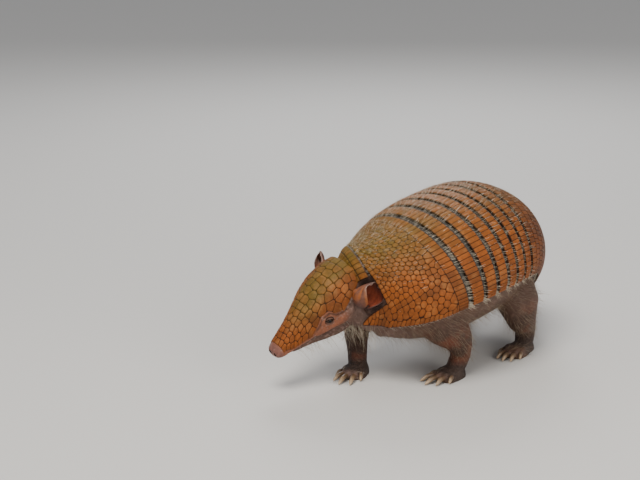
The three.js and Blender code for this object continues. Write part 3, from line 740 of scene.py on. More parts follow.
def square_plates(corners, surface, rng, seam=0.32, furrow=0.2, lip=0.12, along=ALONG, across=ACROSS):
    """Four-sided plates with lengthwise furrows. corners are (from, to) along and (from, to) across."""
    a0, a1, b0, b1 = (np.asarray(c, float)[:, None, None] for c in corners)
    count = len(a0)
    t, s = (grid[None] for grid in np.meshgrid(along, across, indexing="ij"))
    x, y = 2 * t - 1, 2 * s - 1
    round_x, round_y = x * np.sqrt(1 - 0.10 * y**4), y * np.sqrt(1 - 0.12 * x**4)
    mid_a, mid_b, half_a, half_b = (a0 + a1) / 2, (b0 + b1) / 2, (a1 - a0) / 2, (b1 - b0) / 2
    wave = rng.uniform(-1, 1, (count, 1, 1))
    a = mid_a + half_a * (1 - seam / (2 * half_a)) * round_x
    b = mid_b + half_b * round_y * (1 - 0.03)
    to_rim = np.minimum((1 - np.abs(x)) * 6.0, (1 - np.abs(y)) * 3.6)
    rise = np.broadcast_to(smoothstep(to_rim, 0, 0.75), (count, *t.shape[1:]))
    depth = 0.5 - 0.66 * rise
    bend = 0.04 * wave * np.sin(math.pi * t)
    lines = sum(np.exp(-(((s - c - bend * (1 - 2 * abs(c - 0.5))) / 0.035) ** 2)) for c in (0.33, 0.67))
    lines = lines * smoothstep(t, 0.05, 0.3) * smoothstep(to_rim, 0.2, 0.8)
    depth = depth + furrow * lines - lip * smoothstep(t, 0.6, 0.95) * rise
    depth = depth - 0.1 * np.exp(-(((s - 0.5) / 0.12) ** 2)) * rise
    depth = depth + rng.uniform(-0.08, 0.08, (count, 1, 1)) * rise
    shade = np.clip(rise - 0.42 * lines, 0, 1)
    top = surface(a, b, depth).reshape(count, -1, 3)
    rows, columns = len(along), len(across)
    rim = border(rows, columns)
    base = surface(a, b, PLATE_BASE).reshape(count, -1, 3)[:, rim]
    middle = base.mean(1, keepdims=True)
    points = np.concatenate([top, base, middle], axis=1)
    size, first = points.shape[1], rows * columns
    j = np.arange(len(rim))
    k = (j + 1) % len(rim)
    walls = np.stack([rim[j], first + j, first + k, rim[k]], -1)
    floor = np.stack([first + k, first + j, np.full(len(rim), size - 1)], -1)
    # rows run along the body and columns round it, so the faces are turned to face out
    faces = [np.vstack([grid_faces(rows, columns), walls])[:, ::-1], floor[:, ::-1]]
    rises = np.concatenate([shade.reshape(count, -1), np.zeros((count, len(rim) + 1))], axis=1)
    tint = np.repeat(rng.random(count), size)
    return points.reshape(-1, 3), repeated(faces, count, size), tint, rises.ravel()


def shell_body(outer, inner):
    """A closed shell between two grids of points."""
    rows, columns = outer.shape[:2]
    under = rows * columns
    around = border(rows, columns)
    following = np.roll(around, -1)
    sheet = grid_faces(rows, columns)
    walls = np.stack([around, under + around, under + following, following], -1)
    points = np.vstack([outer.reshape(-1, 3), inner.reshape(-1, 3)])
    return turned_out(points, [np.vstack([sheet, sheet[:, ::-1] + under, walls])])


def sheet_plate(front, rear, angle, top, bottom, surface, rows, columns):
    """A closed plain plate under the scutes, which shows as the dark bottom of their seams."""
    share = np.linspace(-1, 1, columns)[None]
    t = np.linspace(0, 1, rows)[:, None]
    reach = angle(t) if callable(angle) else angle
    degrees = share * reach + 0 * t
    a = front(degrees) + (rear(degrees) - front(degrees)) * t
    return shell_body(surface(a, degrees, top), surface(a, degrees, bottom))


def scapular_front(degrees):
    """Where the shoulder shield begins: straight over the nape, then forward in a lobe below the ear."""
    away = np.abs(degrees)
    lobe = 1.5 + 2 * smoothstep(away, 38, 56) - 31.5 * smoothstep(away, 75, 93)
    return lobe + 24 * smoothstep(away, 90, 106)


def back_olive_and_bounce(a, degrees):
    """How greenish a plate of the carapace is, partly its own colour and partly painted green bounce light on
    the top: most on the nape, less along the ridge, none down the flanks.
    """
    top = 1 - smoothstep(np.abs(degrees), 16, 66)
    return top * (0.95 - 0.5 * smoothstep(a, 20, 90))


def plates_piece(name, made, olive_and_bounce, shade, shield):
    """The scutes of one shield of the solids, as one piece."""
    points, faces, tint, rise = made
    mesh = new_mesh(name, *turned_out(points, faces))
    colour = scute_colours(points, tint, rise, olive_and_bounce, 0.2 + 0.75 * olive_and_bounce)
    # shade darkens the plates' colour; on the carapace's rump it is partly a browner own colour and partly
    # painted shade where the light falls off
    set_values(mesh, colour=colour * np.broadcast_to(shade, len(points))[:, None])
    add_piece(name, mesh, SCUTE, "scute", shield)


def seam_piece(name, body, olive_and_bounce_at, shield):
    """The sheet that shows between a shield's scutes."""
    points, faces = body
    mesh = new_mesh(name, points, faces)
    colour = mix(SEAM_COLOUR * 0.8, SEAM_COLOUR * 1.6, fractal(points, 6, 2))
    set_values(mesh, colour=mix(colour, OLIVE_AND_GREEN_BOUNCE * 0.42, olive_and_bounce_at(points)))
    add_piece(name, mesh, SEAM, "scute", shield)


SEAM_TOP, SEAM_BOTTOM = 0.36, 2.9  # depths under the shields' surface
FLANK_PLATES = 52  # rectangular plates round a full row
MARGINAL_FRONT = 48.3  # where the shoulder shield's last row begins
MM_PER_DEGREE = 1.55  # round the body, about halfway along it


def row_corners(front, rear, angle, count, stagger=0.0):
    """Corners of a row of plates across the back, from one margin to the other."""
    edges = np.linspace(-angle, angle, count + 1)
    if stagger:
        edges = np.concatenate([[-angle], edges[:-1] + stagger * (edges[1] - edges[0]), [angle]])
    b0, b1 = edges[:-1], edges[1:]
    return np.full(len(b0), front), np.full(len(b0), rear), b0, b1


def stacked(parts):
    """Several sets of plates as one."""
    points, faces = joined([(p, f) for p, f, _, _ in parts])
    return points, faces, np.concatenate([p[2] for p in parts]), np.concatenate([p[3] for p in parts])


def axis_place(points):
    """Where points lie about the body: station, degrees from the ridge, and share of the dome's reach."""
    a = np.interp(points[:, 1], AXIS_LINE[:, 1], AXIS_STATIONS)
    zero = np.zeros(len(points))
    for _ in range(7):
        off = points - on_axis(a, zero, zero)
        back, left, up = axis_frame(a)
        a = np.clip(a + 0.7 * np.einsum("ij,ij->i", off, back), AXIS_FRONT, AXIS_REAR)
    side = np.einsum("ij,ij->i", off, left) / dome["width"](a)
    rise = np.einsum("ij,ij->i", off, up)
    rise = rise / np.where(rise > 0, dome["rise"](a), FLANK_DROP)
    return a, np.degrees(np.arctan2(side, rise)), np.hypot(side, rise)


def plate_bounce_and_rump_shade(made):
    """The greenish share at each point of the carapace's plates, partly own colour and partly painted green
    bounce light, and the shade, darkest on the rump: partly a browner own colour there and partly painted
    shade where the light falls off.
    """
    a, degrees, _ = axis_place(made[0])
    # darker towards the rump: partly a browner own colour, partly painted shade where the light falls off
    return back_olive_and_bounce(a, degrees), 1 - 0.44 * smoothstep(a, 125, 215)


def carapace_olive_and_bounce(points):
    """How greenish the seams of the carapace are: partly own colour, partly painted green bounce light."""
    a, degrees, _ = axis_place(points)
    return 0.8 * back_olive_and_bounce(a, degrees)


def crown_olive_and_bounce(points):
    """The crown is greenish, partly its own colour and partly painted green bounce light on the head's top,
    with faint seams, and the snout and the cheeks are orange.
    """
    local = in_head(points)
    side = np.abs(local[:, 0]) + 0.25 * np.maximum(-local[:, 1] - 50, 0)
    return 0.95 * (1 - smoothstep(side, 9, 27)) * smoothstep(local[:, 1], -98, -50)


CHART_ROWS, CHART_COLUMNS = 60, 141


def dome_chart(front, rear):
    """Millimetres along and round the dome from the ridge's end at rear, and the way back."""
    a = np.linspace(front, rear, CHART_ROWS)
    degrees = np.linspace(-MARGIN_ANGLE, MARGIN_ANGLE, CHART_COLUMNS)
    grid = on_dome(a[:, None], degrees[None], 0)
    along = np.linalg.norm(np.diff(grid, axis=0), axis=-1)
    along = np.vstack([np.zeros(CHART_COLUMNS), np.cumsum(along[::-1], axis=0)])[::-1]
    around = np.linalg.norm(np.diff(grid, axis=1), axis=-1)
    around = np.hstack([np.zeros((CHART_ROWS, 1)), np.cumsum(around, axis=1)])
    ridge = CHART_COLUMNS // 2
    around = around - around[:, ridge : ridge + 1]

    def read(table, at_a, at_degrees):
        rows, columns = CHART_ROWS - 1, CHART_COLUMNS - 1
        i = np.clip((at_a - front) / (rear - front) * rows, 0, rows - 0.001)
        j = np.clip((at_degrees + MARGIN_ANGLE) / (2 * MARGIN_ANGLE) * columns, 0, columns - 0.001)
        i0, j0 = i.astype(int), j.astype(int)
        fi, fj = i - i0, j - j0
        first = table[i0, j0] * (1 - fj) + table[i0, j0 + 1] * fj
        second = table[i0 + 1, j0] * (1 - fj) + table[i0 + 1, j0 + 1] * fj
        return first * (1 - fi) + second * fi

    def chart(at_a, at_degrees):
        return np.array([read(along, at_a, at_degrees), read(around, at_a, at_degrees)])

    def back(u, w):
        at_a = np.clip(rear - u, front, rear)
        at_degrees = np.clip(w / MM_PER_DEGREE, -MARGIN_ANGLE, MARGIN_ANGLE)
        for _ in range(18):
            steps = ((0, 0), (1, 0), (0, 1))
            now, by_a, by_degrees = (chart(np.clip(at_a + i, front, rear), at_degrees + j) for i, j in steps)
            (ua, wa), (ub, wb), (du, dw) = by_a - now, by_degrees - now, np.array([u, w]) - now
            size = ua * wb - ub * wa
            size = np.where(np.abs(size) < 0.2, -0.2, size)
            at_a = np.clip(at_a + np.clip((du * wb - dw * ub) / size, -8, 8), front, rear)
            at_degrees = at_degrees + np.clip((dw * ua - du * wa) / size, -8, 8)
            at_degrees = np.clip(at_degrees, -MARGIN_ANGLE, MARGIN_ANGLE)
        return at_a, at_degrees

    return chart, back


SCUTE_PITCH, SCUTE_SEAM = 6.1, 0.26  # on the shoulder shield
SCUTE_ROWS, SCUTES_IN_ROW = 20, 60  # enough to cover it


def scapular_seeds(rng):
    """Loose rows of seeds across the shoulders that turn into rows along the body down the flanks."""
    seeds = []
    for i in range(SCUTE_ROWS):
        number = np.arange(SCUTES_IN_ROW) - (SCUTES_IN_ROW - 1) / 2
        w = number * SCUTE_PITCH * (1 + 0.0052 * np.abs(number))
        flank = smoothstep(np.abs(w), 78, 112)
        w = w + (0.5 if i % 2 else 0) * SCUTE_PITCH * (1 - flank)
        u = (i + 0.5) * SCUTE_PITCH + flank * SCUTE_PITCH * (0.34 * i + 0.5 * (np.floor(np.abs(number)) % 2))
        jitter = (0.10 if i == 0 else 0.20) * (1 - 0.45 * flank)
        wobble = rng.uniform(-1, 1, (2, SCUTES_IN_ROW)) * jitter * SCUTE_PITCH
        seeds.append(np.stack([u + wobble[0], w + wobble[1]], -1))
    return np.vstack(seeds)


def scapular_shield():
    """Many-sided plates over the shoulders, and a last row of rectangular ones."""
    rng = np.random.default_rng(11)
    chart, back = dome_chart(-30.0, MARGINAL_FRONT)
    seeds = scapular_seeds(rng)
    half = 600
    turns = np.linspace(-MARGIN_ANGLE, MARGIN_ANGLE, 2 * half)
    lines = [chart(scapular_front(turns), turns), chart(np.full(2 * half, MARGINAL_FRONT), turns)]
    for side in (-1, 1):
        a = np.linspace(scapular_front(MARGIN_ANGLE), MARGINAL_FRONT, 200)
        lines.append(chart(a, np.full(200, side * MARGIN_ANGLE)))
    edge = np.hstack(lines).T
    a, degrees = back(*seeds.T)
    there = np.hypot(*(chart(a, degrees) - seeds.T)) < 0.3
    seeds = seeds[there & (a > scapular_front(degrees))]
    even = lambda u: SCUTE_PITCH
    front, low, high = (lines[k].T for k in (0, 2, 3))
    sides = [(low, -1), (high, 1), (front[half - 1 :: -1], -1), (front[half:], 1)]
    seeds = settled([rim_row(line, sign, even) for line, sign in sides], seeds, edge, even, SCUTE_SEAM)
    rings, _ = cells(seeds, edge, SCUTE_PITCH, SCUTE_SEAM)

    def surface(u, w, depth):
        # each plate is laid out flat about its own middle
        mid_u, mid_w = u.mean(1, keepdims=True), w.mean(1, keepdims=True)
        a, degrees = back(mid_u, mid_w)
        steps = ((-0.5, -0.5), (0.5, -0.5), (-0.5, 0.5))
        here, by_a, by_degrees = (chart(a + i, degrees + j) for i, j in steps)
        (ua, wa), (ub, wb) = by_a - here, by_degrees - here
        size = np.minimum(ua * wb - ub * wa, -0.25)
        a = a + ((u - mid_u) * wb - (w - mid_w) * ub) / size
        degrees = degrees + ((w - mid_w) * ua - (u - mid_u) * wa) / size
        degrees = np.clip(degrees, -MARGIN_ANGLE, MARGIN_ANGLE)
        return on_dome(np.clip(a, scapular_front(degrees) + 0.15, MARGINAL_FRONT - 0.1), degrees, depth)

    last_row = row_corners(MARGINAL_FRONT, SCAPULAR_REAR, MARGIN_ANGLE, FLANK_PLATES)
    made = stacked([polygon_plates(rings, surface, rng, 0.9), square_plates(last_row, on_dome, rng)])
    plates_piece("scapular_plates", made, *plate_bounce_and_rump_shade(made), "scapular_shield")
    rear = lambda d: np.full_like(d, SCAPULAR_REAR - 0.3)
    margin = MARGIN_ANGLE - 0.2
    body = sheet_plate(scapular_front, rear, margin, SEAM_TOP + 0.2, SEAM_BOTTOM, on_dome, 64, 180)
    seam_piece("scapular_seams", body, carapace_olive_and_bounce, "scapular_shield")


def plain_rows(name, shield, rows, seed, angle=MARGIN_ANGLE, surface=on_dome, columns=120):
    """A band or shield made of rows of rectangular plates. Each row is (front, rear, count, stagger)."""
    rng = np.random.default_rng(seed)
    parts = [square_plates(row_corners(f, r, angle, n, s), surface, rng) for f, r, n, s in rows]
    made = stacked(parts)
    plates_piece(f"{name}_plates", made, *plate_bounce_and_rump_shade(made), shield)
    front = lambda d: np.full_like(d, rows[0][0] + 0.2)
    rear = lambda d: np.full_like(d, rows[-1][1] - 0.3)
    body = sheet_plate(front, rear, angle - 0.2, SEAM_TOP, SEAM_BOTTOM, surface, 4 + 5 * len(rows), columns)
    seam_piece(f"{name}_seams", body, carapace_olive_and_bounce, shield)


def carapace():
    """The shoulder shield, the bands, the rump's shield and the nape's band."""
    scapular_shield()
    for i in range(BANDS):
        front = FIRST_BAND + i * BAND_PITCH
        rows = [(front, front + BAND_LENGTH, FLANK_PLATES, 0.0)]
        plain_rows(f"band_{i + 1}", f"band_{i + 1}", rows, 20 + i)
    rows = []
    for i, (front, rear) in enumerate(zip(PELVIC_EDGES[:-1], PELVIC_EDGES[1:])):
        count = int(round(FLANK_PLATES * (0.35 + 0.65 * dome["width"]((front + rear) / 2) / 97)))
        rows.append((front, rear, count, 0.5 if i % 2 else 0.0))
    plain_rows("pelvic", "pelvic_shield", rows, 40)
    # the nape's band slips under the head shield in front
    tucked = lambda a, degrees, depth: on_dome(a, degrees, depth + 3 * smoothstep(-np.asarray(a), 5, 14))
    between = -8.5
    rows = [(NUCHAL_FRONT - 3, between, 15, 0.0), (between, NUCHAL_REAR + 0.8, 16, 0.0)]
    plain_rows("nuchal", "nuchal_band", rows, 50, NUCHAL_ANGLE + 5, tucked, 40)


# ---- Head shield -------------------------------------------------------------------------------------------

SHIELD_REAR, SHIELD_TIP = SHIELD["along"][0], SHIELD["along"][-1]


def face_metric():
    """Millimetres round the head for each degree, at stations from the shield's rear edge to the nose."""
    stations = np.linspace(SHIELD_TIP, SHIELD_REAR, 30)
    lengths = []
    for along in stations:
        line = on_face(along, np.linspace(0, shield_reach(along), 40), 0)
        lengths.append(np.linalg.norm(np.diff(line, axis=0), axis=1).sum() / shield_reach(along))
    return profile(stations, lengths)


HEAD_SEAM = 0.24


def head_shield():
    """Plates in uneven rows from the nape to the nose."""
    rng = np.random.default_rng(61)
    metric = face_metric()

    def surface(u, w, depth):
        along = SHIELD_REAR - u
        return on_face(along, w / metric(along), depth)

    length = SHIELD_REAR - SHIELD_TIP
    seeds, u, odd = [], 0.0, False
    size = lambda at: 9.6 - 3.9 * smoothstep(at, 40, length)  # of a plate, smaller towards the nose
    while u < length - 2:
        pitch = size(u)
        at = SHIELD_REAR - u - pitch / 2
        half = shield_reach(at) * metric(at)
        count = max(3, int(round(2 * half / pitch)) + (1 if odd else 0))
        w = (np.arange(count) + 0.5) / count * 2 - 1
        jitter = 0.08 if u == 0 else 0.2
        rows = np.stack([np.full(count, u + pitch / 2), w * half], -1)
        seeds.append(rows + rng.uniform(-jitter, jitter, rows.shape) * pitch)
        u += pitch
        odd = not odd
    seeds = np.vstack(seeds)
    us = np.linspace(0, length, 400)
    half = shield_reach(SHIELD_REAR - us) * metric(SHIELD_REAR - us)
    left, right = np.stack([us, half], -1), np.stack([us, -half], -1)
    ends = ((0, half[0]), (length, half[-1]))
    ends = [np.stack([np.full(80, end), np.linspace(-wide, wide, 80)], -1) for end, wide in ends]
    edge = np.vstack([left, right, *ends])
    inside = np.abs(seeds[:, 1]) < np.interp(seeds[:, 0], us, half) - 1
    nape = np.stack([np.zeros(80), np.linspace(0, half[0], 80)], -1)
    sides = [(nape, -1), (nape * (1, -1), 1), (left, -1), (right, 1)]
    seeds = settled([rim_row(line, sign, size) for line, sign in sides], seeds[inside], edge, size, HEAD_SEAM)
    rings, _ = cells(seeds, edge, 8.5, HEAD_SEAM, 26)
    made = polygon_plates(rings, surface, rng)
    plates_piece("head_plates", made, crown_olive_and_bounce(made[0]), 0.92, "head_shield")
    span = SHIELD_TIP - SHIELD_REAR
    reach = lambda t: shield_reach(SHIELD_REAR + span * t) - 0.6
    front = lambda d: np.full_like(d, SHIELD_REAR - 0.2)
    rear = lambda d: np.full_like(d, SHIELD_TIP + 0.3)
    body = sheet_plate(front, rear, reach, SEAM_TOP, 2.3, on_face, 90, 60)
    seam_piece("head_seams", body, crown_olive_and_bounce, "head_shield")


# ---- Limbs -------------------------------------------------------------------------------------------------


def curve_points(path, ts):
    """Points and directions along a centripetal Catmull-Rom curve, ts from 0 to 1."""
    p = np.asarray(path, float)
    p = np.vstack([2 * p[0] - p[1], p, 2 * p[-1] - p[-2]])
    spans = len(path) - 1
    at = np.clip(np.asarray(ts, float), 0, 1) * spans
    i = np.clip(np.floor(at).astype(int), 0, spans - 1)
    w = (at - i)[:, None]
    p0, p1, p2, p3 = p[i], p[i + 1], p[i + 2], p[i + 3]
    d0, d1, d2 = (np.sqrt(np.linalg.norm(b - a, axis=1))[:, None] for a, b in ((p0, p1), (p1, p2), (p2, p3)))
    t1 = ((p1 - p0) / d0 - (p2 - p0) / (d0 + d1) + (p2 - p1) / d1) * d1
    t2 = ((p2 - p1) / d1 - (p3 - p1) / (d1 + d2) + (p3 - p2) / d2) * d1
    c2, c3 = -3 * p1 + 3 * p2 - 2 * t1 - t2, 2 * p1 - 2 * p2 + t1 + t2
    return p1 + t1 * w + c2 * w**2 + c3 * w**3, unit(t1 + 2 * c2 * w + 3 * c3 * w**2)


def limb_rings(path, wide, deep, side, sides, steps, grow=0.0):
    """Oval rings along a curve, wide towards side and deep square to it."""
    ts = np.linspace(0, 1, steps)
    centre, along = curve_points(path, ts)
    across = unit(side - along * (along @ np.asarray(side, float))[:, None])
    other = np.cross(along, across)
    shares = np.linspace(0, 1, len(path))
    w, d = profile(shares, wide)(ts) + grow, profile(shares, deep)(ts) + grow
    angle = circle(sides)
    return (
        centre[:, None]
        + across[:, None] * (w[:, None] * np.cos(angle))[..., None]
        + other[:, None] * (d[:, None] * np.sin(angle))[..., None]
    )


def left_of(leg):
    turn = math.radians(leg["heading"])
    return np.array([math.cos(turn), math.sin(turn), 0])


def foot_place(leg, forward, side, z):
    """A point of the foot, forward and to the left of the heel."""
    left = left_of(leg)[:2]
    ahead = np.array([left[1], -left[0]])
    forward, side, z = np.broadcast_arrays(np.asarray(forward, float), side, z)
    flat = np.array(leg["heel"]) + ahead * forward[..., None] + left * side[..., None]
    return np.concatenate([flat, z[..., None]], -1)


def toe_line(leg, index):
    """The middle lines of a toe and of its claw, and the toe's thickness."""
    foot = FEET[leg["foot"]]
    turn = math.radians(foot["angles"][index]) * leg["side"]
    reach, claw, thick = foot["reach"][index], foot["claws"][index], foot["thick"][index]
    root = reach * 0.45

    def spot(distance, z):
        out = distance - root
        forward = root * math.cos(turn) + out * math.cos(turn * 0.75)
        return foot_place(leg, forward, root * math.sin(turn) * 0.9 + out * math.sin(turn * 0.75), z)

    toe = [spot(root - 3, 5), spot(reach * 0.78, 6.6), spot(reach, 4.6)]
    nail = [(reach - 4, 5), (reach + claw * 0.35, 5.4), (reach + claw * 0.8, 3), (reach + claw, 1.5)]
    nail = [spot(*step) for step in nail]
    return toe, nail, thick


def foot_bodies(leg):
    """The sole and instep as one body, flat below, and five toes."""
    foot = FEET[leg["foot"]]
    along = np.linspace(foot["along"][0], foot["along"][-1], 26)
    wide, high = profile(foot["along"], foot["width"])(along), profile(foot["along"], foot["height"])(along)
    angle = circle(36)
    lift = np.where(np.cos(angle) > 0, high[:, None], 3.0) * np.cos(angle)
    bodies = [tube(foot_place(leg, along[:, None] + 0 * angle, wide[:, None] * np.sin(angle), lift))]
    for index in range(5):
        toe, _, thick = toe_line(leg, index)
        widths, heights = [thick * 1.12, thick * 1.02, thick * 0.78], [5.8, 5.2, 4.4]
        rings = limb_rings(toe, widths, heights, left_of(leg), 18, 14)
        # knuckles
        swell = 1 + 0.07 * np.cos(np.linspace(0, 4 * math.pi, 14))[:, None, None]
        centre = rings.mean(1, keepdims=True)
        bodies.append(tube(centre + (rings - centre) * swell))
    return bodies


# ---- One skin ----------------------------------------------------------------------------------------------

EAR_HOLLOW, THROAT_SAG = 14, 4
TRUNK_FRONT, TRUNK_REAR = -13, 290


def ear_band(degrees):
    """Where the flesh is hollowed behind and under the ears."""
    away = np.abs(degrees)
    return smoothstep(away, 34, 54) * (1 - smoothstep(away, 82, 102))


def trunk_body():
    """The trunk under the shields, flat-bellied, rounded off at both ends."""
    full = np.linspace(TRUNK_FRONT, TRUNK_REAR, 110)
    front, rear = [-16.4, -16, -15.2, -14.2], [291.5, 293, 294.4, 295.4, 296]
    a = np.concatenate([front, full, rear])
    shrink = np.concatenate([[15, 9, 4.5, 1.8], 0 * full, [1.2, 3.2, 6.5, 11, 17]])[:, None]
    top = np.linspace(-MARGIN_ANGLE, MARGIN_ANGLE, 81)[None]
    hollow = EAR_HOLLOW * (1 - smoothstep(a[:, None], -5, 16)) * ear_band(top)
    upper = on_dome(a[:, None], top, BED + hollow + shrink)
    edge_rise = np.minimum(FLANK_DROP, dome["rise"](a)) - BED
    edge_rise = edge_rise[:, None] * math.cos(math.radians(MARGIN_ANGLE))
    half = (dome["width"](a)[:, None] - BED - shrink) * math.sin(math.radians(MARGIN_ANGLE)) - MARGIN_OVERHANG
    t = np.radians(np.linspace(0, 180, 43))[None]
    side = half * np.sign(np.cos(t)) * np.abs(np.cos(t)) ** 0.75
    belly = dome["belly"](a)[:, None] - shrink
    lower = on_axis(a[:, None] + 0 * t, side, edge_rise - 1 - (belly + edge_rise) * np.sin(t))
    return tube(np.concatenate([upper, lower], axis=1))


def neck_body():
    """From the trunk's front to the back of the head, sagging at the throat."""
    degrees = np.linspace(0, 360, 72, endpoint=False)
    angle = np.radians(degrees)
    hollow = ear_band(180 - np.abs(180 - degrees))

    def trunk_section(a, depth):
        up = np.where(np.cos(angle) > 0, dome["rise"](a), dome["belly"](a))
        inside = depth + EAR_HOLLOW * hollow
        side = (dome["width"](a) - inside) * np.sin(angle)
        return on_axis(np.full(72, float(a)), side, (up - depth) * np.cos(angle))

    def head_section(nape, throat, depth):
        along = nape + (throat - nape) * (1 - np.cos(angle)) / 2
        nape_cover = 3 * (1 - smoothstep(180 - np.abs(180 - degrees), 40, 70))
        return on_face(along, degrees, depth + 4 * hollow + nape_cover)

    rear, front = trunk_section(-11, BED + 0.5), head_section(8, -24, 0.5)
    sag = np.stack([0 * angle, 0 * angle, -THROAT_SAG * (1 - np.cos(angle)) / 2], -1)
    between = [rear + (front - rear) * t + sag * math.sin(math.pi * t) for t in np.linspace(0.08, 0.92, 9)]
    return tube(np.array([trunk_section(8, BED + 10), rear, *between, front, head_section(0, -34, 7)]))


def head_bodies():
    """The head, a little inside its solid where plates cover it, and the lower jaw."""
    degrees = np.linspace(0, 360, 80, endpoint=False)[None]
    along = np.concatenate([np.linspace(12, -106, 70), np.linspace(-107.5, -115, 8)])[:, None]
    covered = smoothstep(along, SHIELD_TIP - 2, SHIELD_TIP + 3)
    covered = covered * (1 + 2.2 * smoothstep(along, SHIELD_REAR - 4, 12))
    reach = shield_reach(along)
    under = 1 - smoothstep(np.minimum(degrees, 360 - degrees), reach - 4, reach + 2)
    head = tube(on_face(along, degrees, 1.1 * covered * under))
    jaw_along = np.linspace(-6, -98, 54)[:, None]
    return [head, tube(on_face(jaw_along, degrees[:, ::2], 0, jaw_shape))]


def skin_bodies():
    """The rough forms under the skin, which run into each other."""
    bodies = [trunk_body(), neck_body(), *head_bodies()]
    for leg in LEGS.values():
        bodies.append(tube(limb_rings(leg["joints"], leg["wide"], leg["deep"], left_of(leg), 40, 40)))
        bodies += foot_bodies(leg)
    radius = TAIL["radius"]
    bodies.append(tube(limb_rings(TAIL["path"], radius, radius, (1, 0, 0), 32, 70, grow=-0.7)))
    return [turned_out(*body) for body in bodies]


def evaluated(piece, *extras):
    """The mesh of a piece with its modifiers applied. The objects go."""
    graph = bpy.context.evaluated_depsgraph_get()
    made = bpy.data.meshes.new_from_object(piece.evaluated_get(graph))
    for extra in (piece, *extras):
        bpy.data.objects.remove(extra)
    return made


def remeshed(mesh, voxel):
    """One closed mesh round all of a mesh's bodies, with faces about voxel millimetres wide."""
    piece = linked("rough", mesh)
    change = piece.modifiers.new("remesh", "REMESH")
    change.mode, change.voxel_size, change.use_smooth_shade = "VOXEL", voxel / 1000, True
    return evaluated(piece)


def read_all(items, name, width, kind=float):
    """One value of every point, edge or face, as rows of numbers."""
    values = np.zeros(len(items) * width, kind)
    items.foreach_get(name, values)
    return values.reshape(-1, width)


def mesh_points(mesh):
    return read_all(mesh.vertices, "co", 3)


def mesh_edges(mesh):
    return read_all(mesh.edges, "vertices", 2, np.int32)


def set_points(mesh, points):
    mesh.vertices.foreach_set("co", np.asarray(points, np.float32).ravel())
    mesh.update()


def towards_neighbours(points, pairs):
    """The way from each point to the mean of its neighbours."""
    count = np.bincount(pairs.ravel(), minlength=len(points))[:, None]
    total = np.zeros_like(points)
    for k in range(3):
        total[:, k] = np.bincount(pairs[:, 0], points[pairs[:, 1], k], len(points))
        total[:, k] += np.bincount(pairs[:, 1], points[pairs[:, 0], k], len(points))
    return total / np.maximum(count, 1) - points


def smoothed(points, pairs, rounds):
    """Taubin smoothing, which keeps the size."""
    for _ in range(rounds):
        for factor in (0.5, -0.52):
            points = points + towards_neighbours(points, pairs) * factor
    return points


def line_distance(points, line):
    """Distance from each point to a line of points, and how far along the line the nearest place is."""
    line = np.asarray(line, float)
    best = np.full(len(points), 1e9)
    where = np.zeros(len(points))
    for k in range(len(line) - 1):
        a, b = line[k], line[k + 1]
        t = np.clip((points - a) @ (b - a) / ((b - a) @ (b - a)), 0, 1)
        gap = np.linalg.norm(points - a - t[:, None] * (b - a), axis=1)
        nearer = gap < best
        best[nearer] = gap[nearer]
        where[nearer] = (k + t[nearer]) / (len(line) - 1)
    return best, where


# ---- Ears, eyes and lids -----------------------------------------------------------------------------------

ear_shape = {key: profile(EAR["height"], EAR[key]) for key in ("back", "front", "front_wrap", "back_wrap")}


def ear_grid(side, t, theta, depth, height=0.0):
    """Points of the pinna at heights t and angles theta round its roll, depth outside its middle."""
    pose = LAID_BACK if side < 0 else {"height": 1, "depth": 1, "spread": 0, "turned": 0}
    root, tip, out = (np.array(EAR[k], float) for k in ("root", "tip", "faces"))
    rise = (tip - root) * pose["height"]
    across = unit(np.cross(rise, out))
    out = unit(np.cross(across, rise))
    t, theta, depth, height = np.broadcast_arrays(t, theta, depth, height)
    at_front = smoothstep(-np.sin(theta), -0.5, 0.5)
    theta = theta + np.radians(pose["turned"]) * smoothstep(t, 0, 0.5)
    inside = np.clip(t, 0, 1)
    radius = ear_shape["back"](inside) + (ear_shape["front"](inside) - ear_shape["back"](inside)) * at_front
    radius = radius * (1 + pose["spread"] * smoothstep(t, 0.3, 0.95))
    wide, deep = radius * (1.12 - 0.1 * t), radius * (0.64 - 0.2 * t) * pose["depth"]
    outward = unit(np.stack([np.sin(theta) * deep, -np.cos(theta) * wide], -1))
    x = np.sin(theta) * wide + depth * outward[..., 0]
    y = -np.cos(theta) * deep + 3 * t + depth * outward[..., 1]
    local = root + rise * (0.9 * t - 0.02 + height)[..., None] + across * x[..., None] + out * y[..., None]
    return on_head(side * local[..., 0], local[..., 1], local[..., 2])


EAR_OUTSIDE, EAR_FLAP = np.array([0.105, 0.050, 0.040]), np.array([0.27, 0.078, 0.018])
# the very dark red beside the inside colour is painted shade in the ear's opening
EAR_INSIDE, EAR_SHADED = np.array([0.30, 0.058, 0.022]), np.array([0.050, 0.010, 0.006])
EAR_RIM, EAR_FAR = np.array([0.30, 0.20, 0.16]), np.array([0.25, 0.12, 0.08])


def spread_out(x, y):
    """A grid of places on a plane, to read noise at."""
    return np.stack(np.broadcast_arrays(x, y, 0.0), -1)


